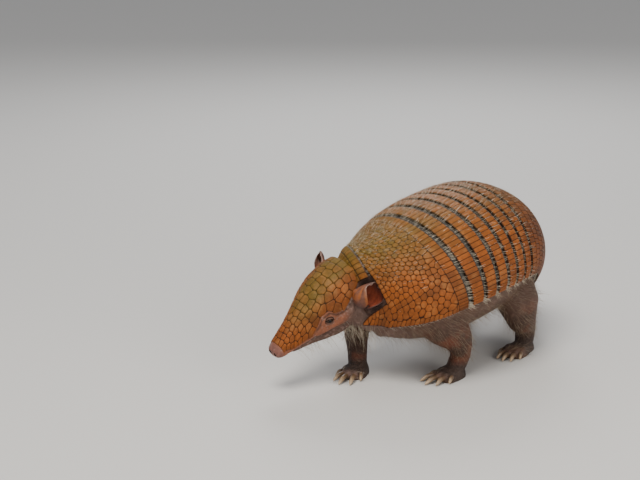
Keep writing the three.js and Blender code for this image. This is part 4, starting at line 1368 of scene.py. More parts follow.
def ear_body(side):
    """A leaf-shaped pinna that rolls up towards its root, its front edge wrapped over the opening."""
    t = np.linspace(-0.04, 1, 44)[:, None]
    s = np.linspace(-1, 1, 76)[None]
    front = ear_shape["front_wrap"](t) * (LAID_BACK["wrap"] if side < 0 else 1)
    theta = s * np.radians(np.where(s < 0, front, ear_shape["back_wrap"](t)))
    rim = np.maximum(smoothstep(np.abs(s), 0.9, 0.99), smoothstep(t, 0.94, 1)) * smoothstep(t, 0.3, 0.75)
    folds = 0.5 * np.sin(11 * math.pi * s + 2 * t) * smoothstep(t, 0.0, 0.3) * (1 - smoothstep(t, 0.6, 0.95))
    wave = 0.35 * np.sin(9 * t + 4 * s) * smoothstep(np.abs(s), 0.5, 1)
    thick = (1.9 - 0.7 * np.clip(t, 0, 1)) * (1 - 0.3 * smoothstep(np.abs(s), 0.8, 1))
    height = -0.13 * np.maximum(t - 0.6, 0) * 2.5 * s**2
    outside = ear_grid(side, t, theta, thick / 2 + folds + wave, height)
    inside = ear_grid(side, t, theta, -thick / 2 + folds + wave, height)
    flap = smoothstep(-s, 0.1, 0.5) * (1 - smoothstep(t, 0.6, 0.95)) * smoothstep(t, -0.1, 0.25)
    streaks = smoothstep(fractal(spread_out(s * 34, t * 5), 3.0, 17), 0.36, 0.62)
    out_colour = mix(mix(EAR_OUTSIDE, EAR_FLAP, flap * (0.25 + 0.75 * streaks)), EAR_RIM, 0.8 * rim)
    # painted shade inside the ear: darker towards the top of the opening and under the front flap's edge; on
    # the laid-back right ear half as strong and only low down
    dark = np.maximum(smoothstep(t + 0.35 * s, 0.45, 0.95), 1 - smoothstep(s, -0.45, 0.1))
    inner = EAR_INSIDE
    if side < 0:
        dark = 0.5 * dark * (1 - smoothstep(t, 0.3, 0.7))
        inner = mix(EAR_INSIDE, EAR_FAR, smoothstep(t + 0 * s, 0.1, 0.5))
    blotches = 0.7 + 0.6 * fractal(spread_out(s * 22, t * 22), 4.0, 19)
    in_colour = mix(mix(inner, EAR_SHADED, dark) * blotches[..., None], EAR_RIM, 0.8 * rim)
    colours = np.vstack([out_colour.reshape(-1, 3), in_colour.reshape(-1, 3)])
    return shell_body(outside, inside), colours


def ear_hollow(side):
    """The room inside and in front of the pinna."""
    t = np.linspace(0.04, 1.25, 26)[:, None]
    theta = circle(44)[None]
    points, faces = tube(ear_grid(side, t, theta, -0.3 + 14 * smoothstep(-np.cos(theta), 0.3, 0.9)))
    return turned_out(points, faces), np.tile(NECK_SKIN * (1.3, 1.05, 1.0), (len(points), 1))


EYE_FACES = unit([0.86, -0.34, 0.36])
EYE_ALONG = unit(np.cross(EYE_FACES, [0.25, 0.0, 1.0]))  # from the eye's front corner to its back corner
LID_SKIN = np.array([0.20, 0.095, 0.062])
# a dark lid colour, also used for the painted shadow along the head shield's edge
DARK_LID_AND_SHADOW = np.array([0.035, 0.016, 0.010])


def eye_frame(side):
    """The eye's centre, the way it faces, and its long and upright directions, in the head's frame."""
    mirrored = np.array([side, 1, 1])
    faces, along = EYE_FACES * mirrored, EYE_ALONG * mirrored
    upright = np.cross(along, faces)
    upright = upright if upright[2] > 0 else -upright
    return np.array(EYE_CENTRE) * mirrored, faces, along, upright


def eye_body(side):
    """An eyeball with a slightly raised cornea, and its colours."""
    centre, faces, along, upright = eye_frame(side)
    out = np.radians(np.concatenate([np.linspace(0.5, 52, 26), np.linspace(58, 179.5, 22)]))[:, None]
    turn = circle(48)[None]
    cornea = 0.55 * (1 - smoothstep(out, 0.2, 0.62))
    radius = EYE_RADIUS - 0.15 + cornea
    local = (
        centre
        + faces * (radius * np.cos(out) + 0 * turn)[..., None]
        + along * (radius * np.sin(out) * np.cos(turn))[..., None]
        + upright * (radius * np.sin(out) * np.sin(turn))[..., None]
    )
    degrees = np.degrees(out) + 0 * turn
    pupil, iris = np.array([0.002, 0.002, 0.002]), np.array([0.024, 0.011, 0.006])
    white = np.array([0.04, 0.022, 0.016])
    streaks = spread_out(np.cos(turn) * 9 + 0 * out, np.sin(turn) * 9 + 0 * out)
    streaks = 0.7 + 0.6 * noise(streaks, 0.8)
    colour = mix(pupil, iris * streaks[..., None], smoothstep(degrees, 15, 19))
    colour = mix(colour, white, smoothstep(degrees, 40, 47))
    colour = colour.reshape(-1, 3)
    points, faces_made = tube(on_head(*np.moveaxis(local, -1, 0)))
    return turned_out(points, faces_made), np.vstack([colour, colour[:1], colour[-1:]])


def lid_ring(side, half_long, high, low, swell, lift, thick, colour):
    """A soft almond ring round the eye: lid rims and the folds about them."""
    centre, faces, along, upright = eye_frame(side)
    turn = circle(72)
    p = half_long * np.sign(np.cos(turn)) * np.abs(np.cos(turn)) ** 1.15
    q = np.where(np.sin(turn) > 0, high, low) * np.sin(turn)
    ball = np.sqrt(np.maximum(EYE_RADIUS**2 - (p**2 + q**2) * 0.92, 1.2)) + lift
    path = centre + along * p[:, None] + upright * q[:, None] + faces * ball[:, None]
    forward = unit(np.roll(path, -1, 0) - np.roll(path, 1, 0))
    outward = unit(path - centre)
    other = np.cross(forward, outward)
    ring = circle(16)
    size = thick * (1 + swell * np.sin(turn)) * (0.72 + 0.28 * np.abs(np.sin(turn)))
    local = (
        path[:, None]
        + outward[:, None] * (size[:, None] * np.cos(ring))[..., None] * 0.85
        + other[:, None] * (size[:, None] * np.sin(ring))[..., None] * 1.15
    )
    grid = on_head(*np.moveaxis(local, -1, 0))
    rows, columns = grid.shape[:2]
    quads = grid_faces(rows + 1, columns, wrap=True) % (rows * columns)
    return turned_out(grid.reshape(-1, 3), [quads]), np.tile(np.array(colour), (rows * columns, 1))


def ellipsoid(centre, radii, colour):
    """A closed egg in the head's frame."""
    out = np.linspace(0.02, math.pi - 0.02, 20)[:, None]
    turn = circle(28)[None]
    x = centre[0] + radii[0] * np.sin(out) * np.cos(turn)
    y = centre[1] + radii[1] * np.cos(out) + 0 * turn
    z = centre[2] + radii[2] * np.sin(out) * np.sin(turn)
    points, faces = tube(on_head(x, y, z))
    return turned_out(points, faces), np.tile(np.array(colour), (len(points), 1))


def cleaned(mesh, nearest=0.00003):
    """Merges points that the cuts left closer than nearest, and drops small bits that hang on nothing."""
    work = bmesh.new()
    work.from_mesh(mesh)
    bmesh.ops.remove_doubles(work, verts=work.verts, dist=nearest)
    start = max(work.verts, key=lambda vert: vert.co.z)
    main, front = {start}, [start]
    while front:
        for edge in front.pop().link_edges:
            for vert in edge.verts:
                if vert not in main:
                    main.add(vert)
                    front.append(vert)
    bmesh.ops.delete(work, geom=[vert for vert in work.verts if vert not in main], context="VERTS")
    work.to_mesh(mesh)
    work.free()


def combined(mesh, steps):
    """The mesh after joining to it or cutting from it each body in turn."""
    base = linked("base", mesh)
    tools = []
    for operation, (body, colours) in steps:
        tool = linked("tool", new_mesh("tool", *body))
        set_values(tool.data, colour=colours)
        change = base.modifiers.new("step", "BOOLEAN")
        change.operation, change.solver, change.object = operation, "MANIFOLD", tool
        tools.append(tool)
    made = evaluated(base, *tools)
    # points made along the cuts take their colour from their neighbours
    values = read_all(made.attributes["colour"].data, "color", 4)[:, :3]
    known = (values.max(1) > 1e-6) & (values.min(1) < 0.99)
    pairs = mesh_edges(made)
    pairs = np.vstack([pairs, pairs[:, ::-1]])
    for _ in range(30):
        if known.all():
            break
        use = pairs[known[pairs[:, 1]] & ~known[pairs[:, 0]]]
        count = np.bincount(use[:, 0], minlength=len(values))
        total = [np.bincount(use[:, 0], values[use[:, 1], k], len(values)) for k in range(3)]
        reached = count > 0
        values[reached] = np.stack(total, -1)[reached] / count[reached, None]
        known |= reached
    set_values(made, colour=values)
    return made


# ---- The skin's relief and colours -------------------------------------------------------------------------

LIPS = {
    "along": [-110, -106, -98, -80, -66, -58, -52],
    "height": [-38.1, -37.5, -37, -37.2, -37.8, -38.4, -38],
}
BEHIND_NAPE = 0.6  # the middle of the gap between the nape's band and the shoulder shield
TAIL_CREASES = 210 / 6.4  # from its root to its tip
CHEEK = [(25, -62, -34), (29.5, -51, -32.5), (32, -40, -31), (33.5, -29, -28), (34, -18, -26)]
# the belly's dark skin is partly its own colour and partly painted shade of the underside
GAP_SKIN, SHADED_BELLY_SKIN = np.array([0.042, 0.037, 0.030]), np.array([0.095, 0.050, 0.033])
FACE_SKIN, NECK_SKIN = np.array([0.245, 0.083, 0.040]), np.array([0.150, 0.088, 0.068])
# the legs' dark skin is partly their own colour and partly painted shade of the underside
SHADED_LEG_SKIN, FOOT_SKIN = np.array([0.056, 0.028, 0.018]), np.array([0.050, 0.030, 0.022])
TAIL_SKIN, NOSE_SKIN = np.array([0.085, 0.046, 0.026]), np.array([0.20, 0.082, 0.060])
JAW_SKIN, LEG_RED = np.array([0.115, 0.062, 0.045]), np.array([0.125, 0.038, 0.018])


def lip_line():
    """Where the lips meet, on the face's surface from under the nose to the corner of the mouth."""
    along = np.linspace(-110, -52, 30)
    height = profile(LIPS["along"], LIPS["height"])(along)
    middle = head_shape["middle"](along)
    share = np.clip((middle - height) / (middle - head_shape["under"](along)), 0, 1) ** (1 / HEAD_SQUARENESS)
    across = head_shape["width"](along) * (1 - share**2) ** (HEAD_SQUARENESS / 2)
    return [(0, -111, -38.2), *np.stack([across, along, height], -1)]


MOUTH = lip_line()


def both_sides(line, points):
    """Distance to a line of the head or to its mirror image, whichever is nearer."""
    mirrored = points.copy()
    mirrored[:, 0] = np.abs(mirrored[:, 0])
    return line_distance(mirrored, line)[0]


def skin_fields(points):
    """How much each point belongs to the head, the legs, the feet and the tail."""
    local = in_head(points)
    head = smoothstep(-local[:, 1], 2, 20) * smoothstep(local[:, 2], -68, -60)
    leg = np.min([line_distance(points, leg["joints"])[0] for leg in LEGS.values()], axis=0)
    limbs = (1 - smoothstep(leg, 22, 32)) * (1 - smoothstep(points[:, 2], 50, 80))
    tail = 1 - smoothstep(line_distance(points, TAIL["path"])[0], 18, 24)
    return local, head * (1 - limbs), limbs, (1 - smoothstep(points[:, 2], 14, 26)), tail * (1 - limbs)


def skin_relief(points, normals):
    """The skin with its mouth, cheeks, folds and creases."""
    local, head, limbs, feet, tail = skin_fields(points)
    a, degrees, reach = axis_place(points)
    body = (1 - head) * (1 - limbs) * (1 - tail)
    lift = np.zeros(len(points))
    mouth = both_sides(MOUTH, local)
    lift -= 1.5 * np.exp(-((mouth / 1.1) ** 2)) * head
    lift += 0.4 * np.exp(-(((mouth - 2.9) / 1.5) ** 2)) * head
    cheek = both_sides(CHEEK, local)
    lift += 1.5 * np.exp(-((cheek / 4.5) ** 2)) * head
    lift -= 0.8 * np.exp(-(((cheek - 8) / 2.5) ** 2)) * head * (local[:, 2] < -30)
    # loose folds round the neck and throat, finer creases over the face, belly and limbs
    neck = (1 - head) * smoothstep(-a, -24, -6) * (1 - limbs)
    fold = np.abs(2 * fractal(np.stack([a * 1.0, degrees * 0.22, local[:, 1] * 0.5], -1), 7, 21) - 1)
    lift += neck * 1.5 * (0.35 - np.clip(fold, 0, 0.35)) * -2.2
    crease = np.abs(2 * fractal(points * np.array([1, 1, 1.6]), 7, 31) - 1)
    lift -= (head * 0.28 + body * 0.3 + limbs * 0.4) * (1 - smoothstep(crease, 0.02, 0.22))
    lift += 0.5 * (fractal(points, 12, 41) - 0.5) * (1 - feet)
    # the skin swells up in the gaps between the bands
    for middle, height in [*((gap, 1.9) for gap in GAP_MIDDLES), (BEHIND_NAPE, 1.5)]:
        swell = np.exp(-(((a - middle) / 1.75) ** 4)) * smoothstep(reach, 0.86, 0.92) * (1 - head)
        swell = swell * (1 - smoothstep(np.abs(degrees), 101, 107)) * (1 - smoothstep(reach, 1.08, 1.2))
        lift += height * swell
    ring = np.sin(line_distance(points, TAIL["path"])[1] * TAIL_CREASES * 2 * math.pi)
    lift += 0.18 * ring * tail
    return under_plates(points + normals * lift[:, None])


def under_plates(points):
    """Keeps the skin beneath the shields and bands, whose lower margins rest on the tops of the limbs."""
    a, degrees, reach = axis_place(points)
    zero = np.zeros(len(points))
    open_below = smoothstep(np.abs(degrees), 103.5, 112)
    covered = smoothstep(a - scapular_front(degrees), -1, 2.5)
    covered = covered * (1 - smoothstep(a, PELVIC_REAR - 1, PELVIC_REAR + 3))
    gap = np.exp(-((np.abs(a[:, None] - GAP_MIDDLES).min(1) / 1.9) ** 4))
    # the margins' undersides, the limbs and the thighs stay where they are
    free = np.maximum(np.maximum(open_below, 1 - covered), smoothstep(reach, 1.34, 1.5))
    free = np.maximum(free, smoothstep(points[:, 1], 50, 80) * smoothstep(reach, 1.0, 1.05))
    limit = 0.963 + 0.02 * gap + 0.3 * free + 30 * free**8
    centre = on_axis(a, zero, zero)
    return centre + (points - centre) * np.minimum(1, limit / np.maximum(reach, 1e-6))[:, None]


def skin_colours(points):
    """The skin's colour: pink-brown face and neck, dark belly, legs and feet; the belly and legs are partly
    their own dark colour and partly painted shade of the underside, and there is painted shadow along the
    head shield's edge.
    """
    local, head, limbs, feet, tail = skin_fields(points)
    a, degrees, reach = axis_place(points)
    covered = (1 - smoothstep(np.abs(degrees), 101, 108)) * smoothstep(a, -2, 8)
    covered = covered * (1 - smoothstep(reach, 1.08, 1.2))
    colour = mix(SHADED_BELLY_SKIN, NECK_SKIN, smoothstep(-a, -20, 4))
    colour = mix(colour, mix(GAP_SKIN, NECK_SKIN * 1.1, smoothstep(-a, -14, -4)), covered)
    colour = mix(colour, SHADED_BELLY_SKIN * 0.8, smoothstep(a, 284, 290))
    chin = 37.4 + 3 * smoothstep(local[:, 1], -62, -46)
    face = mix(FACE_SKIN, JAW_SKIN, smoothstep(-local[:, 2] - chin, 0, 4))
    face = mix(face, NECK_SKIN, smoothstep(local[:, 1], -34, -16))
    face = mix(face, NOSE_SKIN, smoothstep(-local[:, 1], 106, 110))
    colour = mix(colour, face, head)
    mouth = both_sides(MOUTH, local)
    colour = mix(colour, np.array([0.04, 0.018, 0.013]), np.exp(-((mouth / 1.25) ** 2)) * head)
    leg = mix(SHADED_LEG_SKIN, LEG_RED, smoothstep(fractal(points, 17, 51), 0.4, 0.7))
    leg = mix(leg, FOOT_SKIN, feet)
    colour = mix(colour, leg, limbs)
    colour = mix(colour, TAIL_SKIN, tail)
    # painted shadow: a dark line where the skin meets the head shield's edge
    degrees_in = np.degrees(np.arctan2(np.abs(local[:, 0]), local[:, 2] - head_shape["middle"](local[:, 1])))
    over = (degrees_in - shield_reach(local[:, 1])) * 0.5
    fold = head * np.exp(-(((over - 1.2) / 1.6) ** 2)) * smoothstep(local[:, 1], -70, -60) * (local[:, 1] < 0)
    colour = mix(colour, DARK_LID_AND_SHADOW * 0.7, 0.85 * fold)
    # pale grains over the neck and throat
    grains = smoothstep(noise(points, 2.1, 83), 0.66, 0.82) * (0.3 + 0.7 * head) * (1 - limbs) * (1 - tail)
    colour = mix(colour, np.array([0.34, 0.22, 0.18]), 0.45 * grains * (1 - covered))
    shade = 0.72 + 0.56 * fractal(points, 8, 61)
    return colour * shade[:, None]


VOXEL = 1.35


def fill_creases(points, pairs, rounds, normals_of):
    """Lets skin fill the sharp corners where one form runs into another."""
    for _ in range(rounds):
        pull = towards_neighbours(points, pairs)
        hollow = np.einsum("ij,ij->i", pull, normals_of(points))
        points = points + pull * (0.6 * smoothstep(hollow, 0.00002, 0.00016))[:, None]
    return points


def skin():
    """All the flesh as one skin, with eye sockets and nostrils cut, and lids and ears joined on."""
    mesh = remeshed(new_mesh("rough", *joined(skin_bodies())), VOXEL)
    pairs = mesh_edges(mesh)

    def normals_of(points):
        set_points(mesh, points)
        return read_all(mesh.vertex_normals, "vector", 3)

    points = smoothed(mesh_points(mesh), pairs, 5)
    points = fill_creases(points, pairs, 26, normals_of)
    points = smoothed(points, pairs, 3)
    millimetres = skin_relief(unplace(points), normals_of(points))
    points = place(millimetres)
    points[:, 2] = np.maximum(points[:, 2], 0)
    set_points(mesh, points)
    set_values(mesh, colour=skin_colours(unplace(points)))
    steps = []
    for side in (1, -1):
        centre, faces, _, _ = eye_frame(side)
        steps.append(("DIFFERENCE", ellipsoid(centre + faces * 3.0, (5.6, 5.6, 5.6), DARK_LID_AND_SHADOW)))
        nostril = (side * 4.3, -115.5, -31.2)
        steps.append(("DIFFERENCE", ellipsoid(nostril, (1.7, 3.6, 2.1), DARK_LID_AND_SHADOW * 0.4)))
    for side in (1, -1):
        steps.append(("DIFFERENCE", ear_hollow(side)))
        steps.append(("UNION", lid_ring(side, 6.9, 5.0, 4.4, 0.16, -0.9, 1.7, LID_SKIN)))
        steps.append(("UNION", lid_ring(side, 5.1, 3.2, 2.8, 0.15, 0.05, 0.8, LID_SKIN * 0.5)))
        steps.append(("UNION", ear_body(side)))
    made = combined(mesh, steps)
    cleaned(made)
    _, _, limbs, feet, tail_share = skin_fields(unplace(mesh_points(made)))
    set_values(made, scaly=limbs * (0.45 + 0.55 * feet) + 0.25 * tail_share)
    made.polygons.foreach_set("use_smooth", np.ones(len(made.polygons), bool))
    flesh = ["trunk", "neck", "head", "lower_jaw", "ear_left", "ear_right", *LEGS]
    flesh += ["tail_base", "tail_middle", "tail_tip"]
    return add_piece("skin", made, SKIN, "skin", *flesh)


def eyes():
    """Both eyeballs."""
    for name, side in (("left", 1), ("right", -1)):
        body, colours = eye_body(side)
        mesh = new_mesh(f"eyeball_{name}", *body)
        set_values(mesh, colour=colours)
        add_piece(f"eyeball_{name}", mesh, EYEBALL, "eye", f"eye_{name}")


# ---- Claws and tail ----------------------------------------------------------------------------------------

CLAW_ROOT, CLAW_TIP = np.array([0.12, 0.070, 0.038]), np.array([0.40, 0.28, 0.165])


def claws():
    """The five claws of each foot as one piece."""
    for name, leg in LEGS.items():
        bodies, colours = [], []
        for index in range(5):
            _, nail, thick = toe_line(leg, index)
            widths, heights = [thick * 0.66, thick * 0.6, thick * 0.4, 0.35], [3.1, 2.8, 1.8, 0.35]
            rings = limb_rings(nail, widths, heights, left_of(leg), 20, 22)
            centre = rings.mean(1, keepdims=True)
            # a keel along the top and a flat groove below
            up = (rings[..., 2:] - centre[..., 2:]) / 3
            keel = np.where(up > 0.6, 0.16, 0.0) - np.where(up < -0.5, 0.18, 0.0)
            body = turned_out(*tube(centre + (rings - centre) * (1 + keel)))
            bodies.append((np.maximum(body[0], [-1e9, -1e9, 0.05]), body[1]))
            along = np.concatenate([np.repeat(np.linspace(0, 1, 22), 20), [0, 1]])
            colours.append(mix(CLAW_ROOT, CLAW_TIP, smoothstep(along, 0.25, 0.75)))
        points, faces = joined(bodies)
        mesh = new_mesh(f"{name}_claws", points, faces)
        colour = np.vstack(colours) * (0.7 + 0.6 * fractal(points, 2.2, 71))[:, None]
        set_values(mesh, colour=colour)
        add_piece(f"{name}_claws", mesh, CLAW, "claw", name)


tail_radius = profile(np.linspace(0, 1, len(TAIL["radius"])), TAIL["radius"])


def tail_surface(t, degrees, depth):
    """A point of the tail: t from its root to its tip, degrees round it, and how deep."""
    t, degrees, depth = np.broadcast_arrays(t, degrees, depth)
    centre, along = curve_points(TAIL["path"], t.ravel())
    across = unit(np.array([1.0, 0, 0]) - along * along[:, :1])
    other = np.cross(along, across)
    radius = tail_radius(t.ravel()) - depth.ravel()
    angle = np.radians(degrees.ravel())
    points = centre + across * (radius * np.cos(angle))[:, None] + other * (radius * np.sin(angle))[:, None]
    return points.reshape(*t.shape, 3)


def tail():
    """The tail's rings of small plates, over the skin."""
    rng = np.random.default_rng(81)
    few = np.array([0, 0.04, 0.14, 0.5, 0.86, 0.96, 1])
    parts = []
    edges = np.linspace(0.13, 0.985, 30)
    for i, (t0, t1) in enumerate(zip(edges[:-1], edges[1:])):
        count = max(8, int(round(2 * math.pi * tail_radius(t0) / 5.8)))
        around = np.linspace(0, 360, count + 1) + (180 / count if i % 2 else 0)
        corners = (np.full(count, t0), np.full(count, t1), around[:-1], around[1:])
        surface = lambda t, d, depth: tail_surface(t, d, 0.35 + 0.8 * depth)
        parts.append(square_plates(corners, surface, rng, 0.0011, 0.0, 0.25, few, few))
    points, faces, tint, rise = stacked(parts)
    points[:, 2] = np.maximum(points[:, 2], 0)
    mesh = new_mesh("tail_plates", *turned_out(points, faces))
    brown = scute_colours(points, tint, rise, 0.35 + 0 * tint) * 0.62
    set_values(mesh, colour=brown)
    add_piece("tail_plates", mesh, TAIL_PLATE, "dark_skin", "tail_base", "tail_middle", "tail_tip")


# ---- Hair --------------------------------------------------------------------------------------------------

HAIR_WHITE, HAIR_PALE = np.array([0.72, 0.63, 0.49]), np.array([0.42, 0.33, 0.22])
HAIR_WARM = np.array([0.20, 0.12, 0.07])
PATCH = 0.003  # a hair's share of the map
FEW = 1.0  # of all the hairs


def unwrap(points):
    """Where roots lie on a map of the skin's own shape: the body rolled out, then the head, then each leg."""
    a, degrees, _ = axis_place(points)
    local, head, limbs, _, _ = skin_fields(points)
    u = 0.02 + 0.58 * (a - AXIS_FRONT) / (AXIS_REAR - AXIS_FRONT)
    v = 0.5 + degrees / 375
    turn = np.degrees(np.arctan2(local[:, 0], local[:, 2] + 30))
    u = np.where(head > 0.5, 0.63 + 0.16 * (local[:, 1] + 120) / 140, u)
    v = np.where(head > 0.5, 0.5 + turn / 375, v)
    for k, leg in enumerate(LEGS.values()):
        distance, along = line_distance(points, leg["joints"])
        centre, _ = curve_points(leg["joints"], along)
        turn = np.degrees(np.arctan2(*(points - centre)[:, :2].T))
        here = (limbs > 0.5) & (distance < 34)
        u = np.where(here, 0.81 + 0.046 * k + 0.04 * along, u)
        v = np.where(here, 0.5 + turn / 375, v)
    return np.clip(np.stack([u, v], -1), PATCH, 1 - PATCH)


def strands(name, roots, directions, bends, lengths, thick, colours, rng, *nodes, steps=5):
    """Tapering curved hairs as one mesh."""
    count = len(roots)
    t = np.linspace(0, 1, steps + 1)[None, :, None]
    reach = lengths[:, None, None]
    centre = roots[:, None] + directions[:, None] * reach * t + bends[:, None] * reach * t**2
    along = unit(directions[:, None] + 2 * bends[:, None] * t)
    side = unit(np.cross(along, rng.normal(size=(count, 1, 3))))
    other = np.cross(along, side)
    turn = np.radians([0, 120, 240])[None, None, :, None]
    radius = (thick[:, None] * (1 - 0.7 * t[0, :steps, 0]))[:, :, None, None]
    rings = centre[:, :steps, None] + side[:, :steps, None] * np.cos(turn) * radius
    rings = rings + other[:, :steps, None] * np.sin(turn) * radius
    points = np.concatenate([rings.reshape(count, -1, 3), centre[:, -1:]], axis=1)
    points[..., 2] = np.maximum(points[..., 2], 0.3)
    tip = 3 * steps
    _, last_cap = caps(steps, 3, 0, tip)
    faces = [grid_faces(steps, 3, wrap=True), np.vstack([last_cap, [2, 1, 0]])]
    mesh = new_mesh(name, *turned_out(points.reshape(-1, 3), repeated(faces, count, tip + 1)))
    share = np.concatenate([np.repeat(np.linspace(0, 0.85, steps), 3), [1]])
    shade = (0.72 + 0.5 * share)[None, :, None] * rng.uniform(0.75, 1.2, (count, 1, 1))
    set_values(mesh, colour=(colours[:, None] * shade).reshape(-1, 3))
    corner = np.stack([share, np.concatenate([np.tile([0, 0.5, 1], steps), [0.5]])], -1) - 0.5
    spots = (unwrap(roots)[:, None] + corner[None] * PATCH).reshape(-1, 2)
    spots = spots[read_all(mesh.loops, "vertex_index", 1, np.int32)[:, 0]]
    layer = mesh.uv_layers.new(name="OFBake")
    layer.data.foreach_set("uv", spots.astype(np.float32).ravel())
    return add_piece(name, mesh, HAIR, "hair", *nodes)


def dome_frame(a, degrees, depth):
    """Points of the dome with the directions that run back along it and stand out from it."""
    here = on_dome(a, degrees, depth)
    back = unit(on_dome(a + 1, degrees, depth) - here)
    out = unit(on_dome(a, degrees, depth - 1) - here)
    down = unit(on_dome(a, degrees + np.sign(degrees) * 1.0, depth) - here)
    return here, back, out, down


def drawn(rng, count, low, high, power=1):
    """Random numbers from low to high. A power above 1 favours the low ones."""
    return low + (high - low) * rng.random(count) ** power


def shell_bristles():
    """Short pale bristles lying back out of the gaps and seams, and longer ones along the lower margins."""
    rng = np.random.default_rng(91)
    sets = []

    def add(a, degrees, depth, out, down, length, thick):
        here, back, away, low = dome_frame(a, degrees, depth)
        n = len(a)
        wild = rng.normal(0, 0.16, (n, 3))
        out, down = (np.broadcast_to(share, n)[:, None] for share in (out, down))
        direction = unit(back + away * out + low * down + wild)
        bend = back * 0.16 - away * 0.12 - np.array([0, 0, 0.08]) + rng.normal(0, 0.08, (n, 3))
        sets.append((here, direction, bend, length, thick))

    for i, edge in enumerate(BAND_ENDS):
        n = int((220 if i == 0 else 160) * FEW)
        side = rng.choice([-1.0, 1.0], n)
        degrees = side * 104 * rng.random(n) ** 0.72
        share = np.abs(degrees) / 104
        length = drawn(rng, n, 4.2, 7.5) * (0.9 + 0.5 * share)
        a = edge + drawn(rng, n, 0.1, 2.2)
        add(a, degrees, 1.5, drawn(rng, n, 0.12, 0.42), 0.25 * share, length, drawn(rng, n, 0.15, 0.23))
        n = int(56 * FEW)
        degrees = rng.choice([-1.0, 1.0], n) * drawn(rng, n, 98, 105)
        length = drawn(rng, n, 8, 15)
        a = edge + drawn(rng, n, -1.5, 2.5)
        add(a, degrees, 1.8, 0.35, 0.9, length, drawn(rng, n, 0.15, 0.24))
        n = int(90 * FEW)
        degrees = rng.normal(-8, 34, n).clip(-90, 90)
        a = edge + drawn(rng, n, 0.1, 2.0)
        length = drawn(rng, n, 6, 11.5) * (1.1 if i < 4 else 0.8)
        add(a, degrees, 1.2, drawn(rng, n, 0.45, 1.1), 0.0, length, drawn(rng, n, 0.12, 0.18))
    band_middles = FIRST_BAND + np.arange(BANDS) * BAND_PITCH + 0.5 * BAND_LENGTH
    for edge in [MARGINAL_FRONT, *PELVIC_EDGES[1:], *band_middles]:
        n = int(110 * FEW)
        degrees = rng.normal(0, 27, n).clip(-100, 100)
        a = edge + drawn(rng, n, -0.8, 0.2)
        add(a, degrees, 0.6, drawn(rng, n, 0.2, 0.75), 0.0, drawn(rng, n, 3.5, 8), np.full(n, 0.12))
    n = int(900 * FEW)
    degrees = rng.normal(0, 30, n).clip(-100, 100)
    a = drawn(rng, n, 3, MARGINAL_FRONT)
    add(a, degrees, 0.5, drawn(rng, n, 0.2, 0.85), 0.0, drawn(rng, n, 3, 7.5), np.full(n, 0.12))
    # between the nape's band and the shoulder shield
    n = int(200 * FEW)
    degrees = rng.normal(0, 26, n).clip(-58, 58)
    a = drawn(rng, n, -1, 1.5)
    add(a, degrees, 1.2, drawn(rng, n, 0.3, 0.7), 0.0, drawn(rng, n, 4, 8), np.full(n, 0.14))
    # along the lower margins of the shoulder and pelvic shields
    n = int(420 * FEW)
    front = rng.random(n) < 0.55
    a = np.where(front, drawn(rng, n, -4, SCAPULAR_REAR), drawn(rng, n, PELVIC_FRONT, 280))
    degrees = rng.choice([-1.0, 1.0], n) * drawn(rng, n, 102, 105.5)
    add(a, degrees, 2.4, 0.1, drawn(rng, n, 0.5, 1.6), drawn(rng, n, 4, 10), np.full(n, 0.13))
    whole = [np.concatenate(part) for part in zip(*sets)]
    colours = mix(HAIR_WHITE, HAIR_PALE, rng.random(len(whole[0])) ** 1.5)
    nodes = ["scapular_shield", "nuchal_band", "pelvic_shield", *(f"band_{i + 1}" for i in range(BANDS))]
    half = len(colours) // 2 + 1
    order = np.random.default_rng(92).permutation(len(colours))
    for number, part in enumerate((order[:half], order[half:])):
        strands(f"bristles_{number + 1}", *(w[part] for w in whole), colours[part], rng, *nodes)


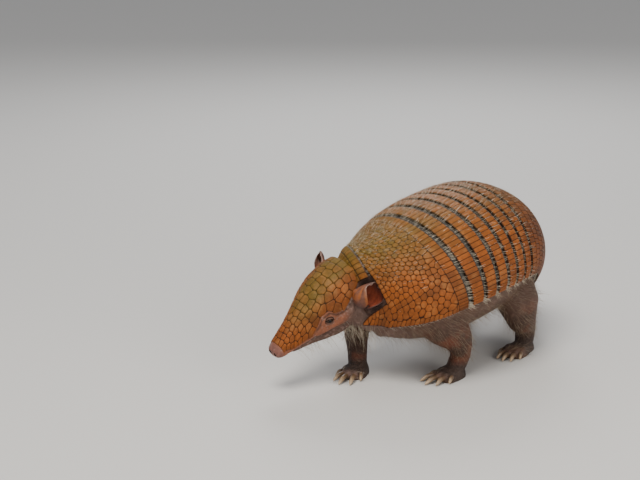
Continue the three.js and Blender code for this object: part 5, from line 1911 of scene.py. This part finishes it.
def body_hair(skin_piece):
    """Long thin hair under the head and body and down the legs, rooted on the skin."""
    rng = np.random.default_rng(95)
    faces = skin_piece.data.polygons
    centres, normals = unplace(read_all(faces, "center", 3)), read_all(faces, "normal", 3)
    areas = read_all(faces, "area", 1)[:, 0]
    local, head, limbs, _, tail = skin_fields(centres)
    a, degrees, _ = axis_place(centres)
    low = smoothstep(np.abs(degrees), 108, 116)
    body = low * (1 - head) * (1 - limbs) * (1 - tail) * smoothstep(a, -30, -8)
    throat = head * smoothstep(-local[:, 2], 44, 49) * (1 - smoothstep(-local[:, 1], 78, 96))
    cheek = head * smoothstep(local[:, 1], -32, -22) * smoothstep(-local[:, 2], 36, 44)
    collar = (1 - head) * (1 - limbs) * smoothstep(-a, -4, 12) * smoothstep(np.abs(degrees), 96, 112)
    legs = limbs * smoothstep(centres[:, 2], 16, 40)
    back = np.array([0.0, 1.0, -0.25])

    def grow(name, share, count, lie, stand, length, thick, droop, colours, *nodes):
        count = int(count * FEW)
        chance = share * areas
        picked = rng.choice(len(faces), count, replace=False, p=chance / chance.sum())
        normal = normals[picked]
        wild = rng.normal(0, 0.2, (count, 3))
        flat = lie - normal * (normal @ lie)[:, None]
        direction = unit(unit(flat) + normal * drawn(rng, count, *stand)[:, None] + wild)
        bend = np.array([0, 0.1, -droop]) + rng.normal(0, 0.1, (count, 3))
        lengths, thicks = drawn(rng, count, *length, 1.4), drawn(rng, count, *thick)
        tones = mix(*colours, rng.random(count))
        roots = centres[picked] - normal * 0.3
        strands(name, roots, direction, bend, lengths, thicks, tones, rng, *nodes, steps=6)

    warm, pale = (HAIR_PALE, HAIR_WARM), (HAIR_WHITE, HAIR_PALE)
    grow("belly_hair", body, 2600, back, (0.2, 0.7), (7, 21), (0.09, 0.14), 0.3, warm, "trunk")
    face = throat + 0.7 * cheek + 0.3 * collar
    solids = ("lower_jaw", "head", "neck")
    down = unit(back + np.array([0, 0, -0.7]))
    grow("throat_hair", face, 420, down, (0.5, 1.3), (9, 28), (0.10, 0.16), 0.35, pale, *solids)
    down = unit(back + np.array([0, 0, -0.6]))
    grow("leg_hair", legs, 2000, down, (0.2, 0.6), (5, 15), (0.08, 0.13), 0.2, warm, *LEGS)


# ---- Stage -------------------------------------------------------------------------------------------------


MODEL_MIDDLE = Vector((0, 0, 0.1))


def area_light(name, place_at, size, power, colour):
    """A round lamp that points at the model."""
    lamp = bpy.data.lights.new(name, "AREA")
    lamp.shape, lamp.size, lamp.energy, lamp.color = "DISK", size, power, colour
    ob = linked(name, lamp)
    ob.location = place_at
    ob.rotation_mode = "QUATERNION"
    ob.rotation_quaternion = (MODEL_MIDDLE - Vector(place_at)).to_track_quat("-Z", "Y")


def make_stage():
    """A wide pale floor, a grey sky and three lamps."""
    half = 9.0  # metres
    corners = [(-half, -half, 0), (half, -half, 0), (half, half, 0), (-half, half, 0)]
    mesh = bpy.data.meshes.new("floor")
    mesh.from_pydata(corners, [], [(0, 1, 2, 3)])
    floor = linked("floor", mesh)
    material, _, shader = new_material("floor")
    shader.inputs["Base Color"].default_value = (0.62, 0.6, 0.57, 1)
    shader.inputs["Roughness"].default_value = 0.9
    mesh.materials.append(material)
    floor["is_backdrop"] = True
    world = bpy.data.worlds.new("studio")
    world.use_nodes = True
    sky = world.node_tree.nodes["Background"].inputs
    sky["Color"].default_value, sky["Strength"].default_value = (0.78, 0.8, 0.84, 1), 0.55
    bpy.context.scene.world = world
    area_light("key", (0.4, -1.1, 1.9), 1.0, 42, (1, 0.97, 0.92))
    area_light("side", (1.9, -0.2, 0.8), 1.2, 16, (1, 0.96, 0.9))
    area_light("rim", (-1.2, 1.3, 1.5), 1.0, 22, (0.95, 0.97, 1))


make_stage()
carapace()
head_shield()
whole_skin = skin()
eyes()
claws()
tail()
shell_bristles()
body_hair(whole_skin)

low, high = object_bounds()
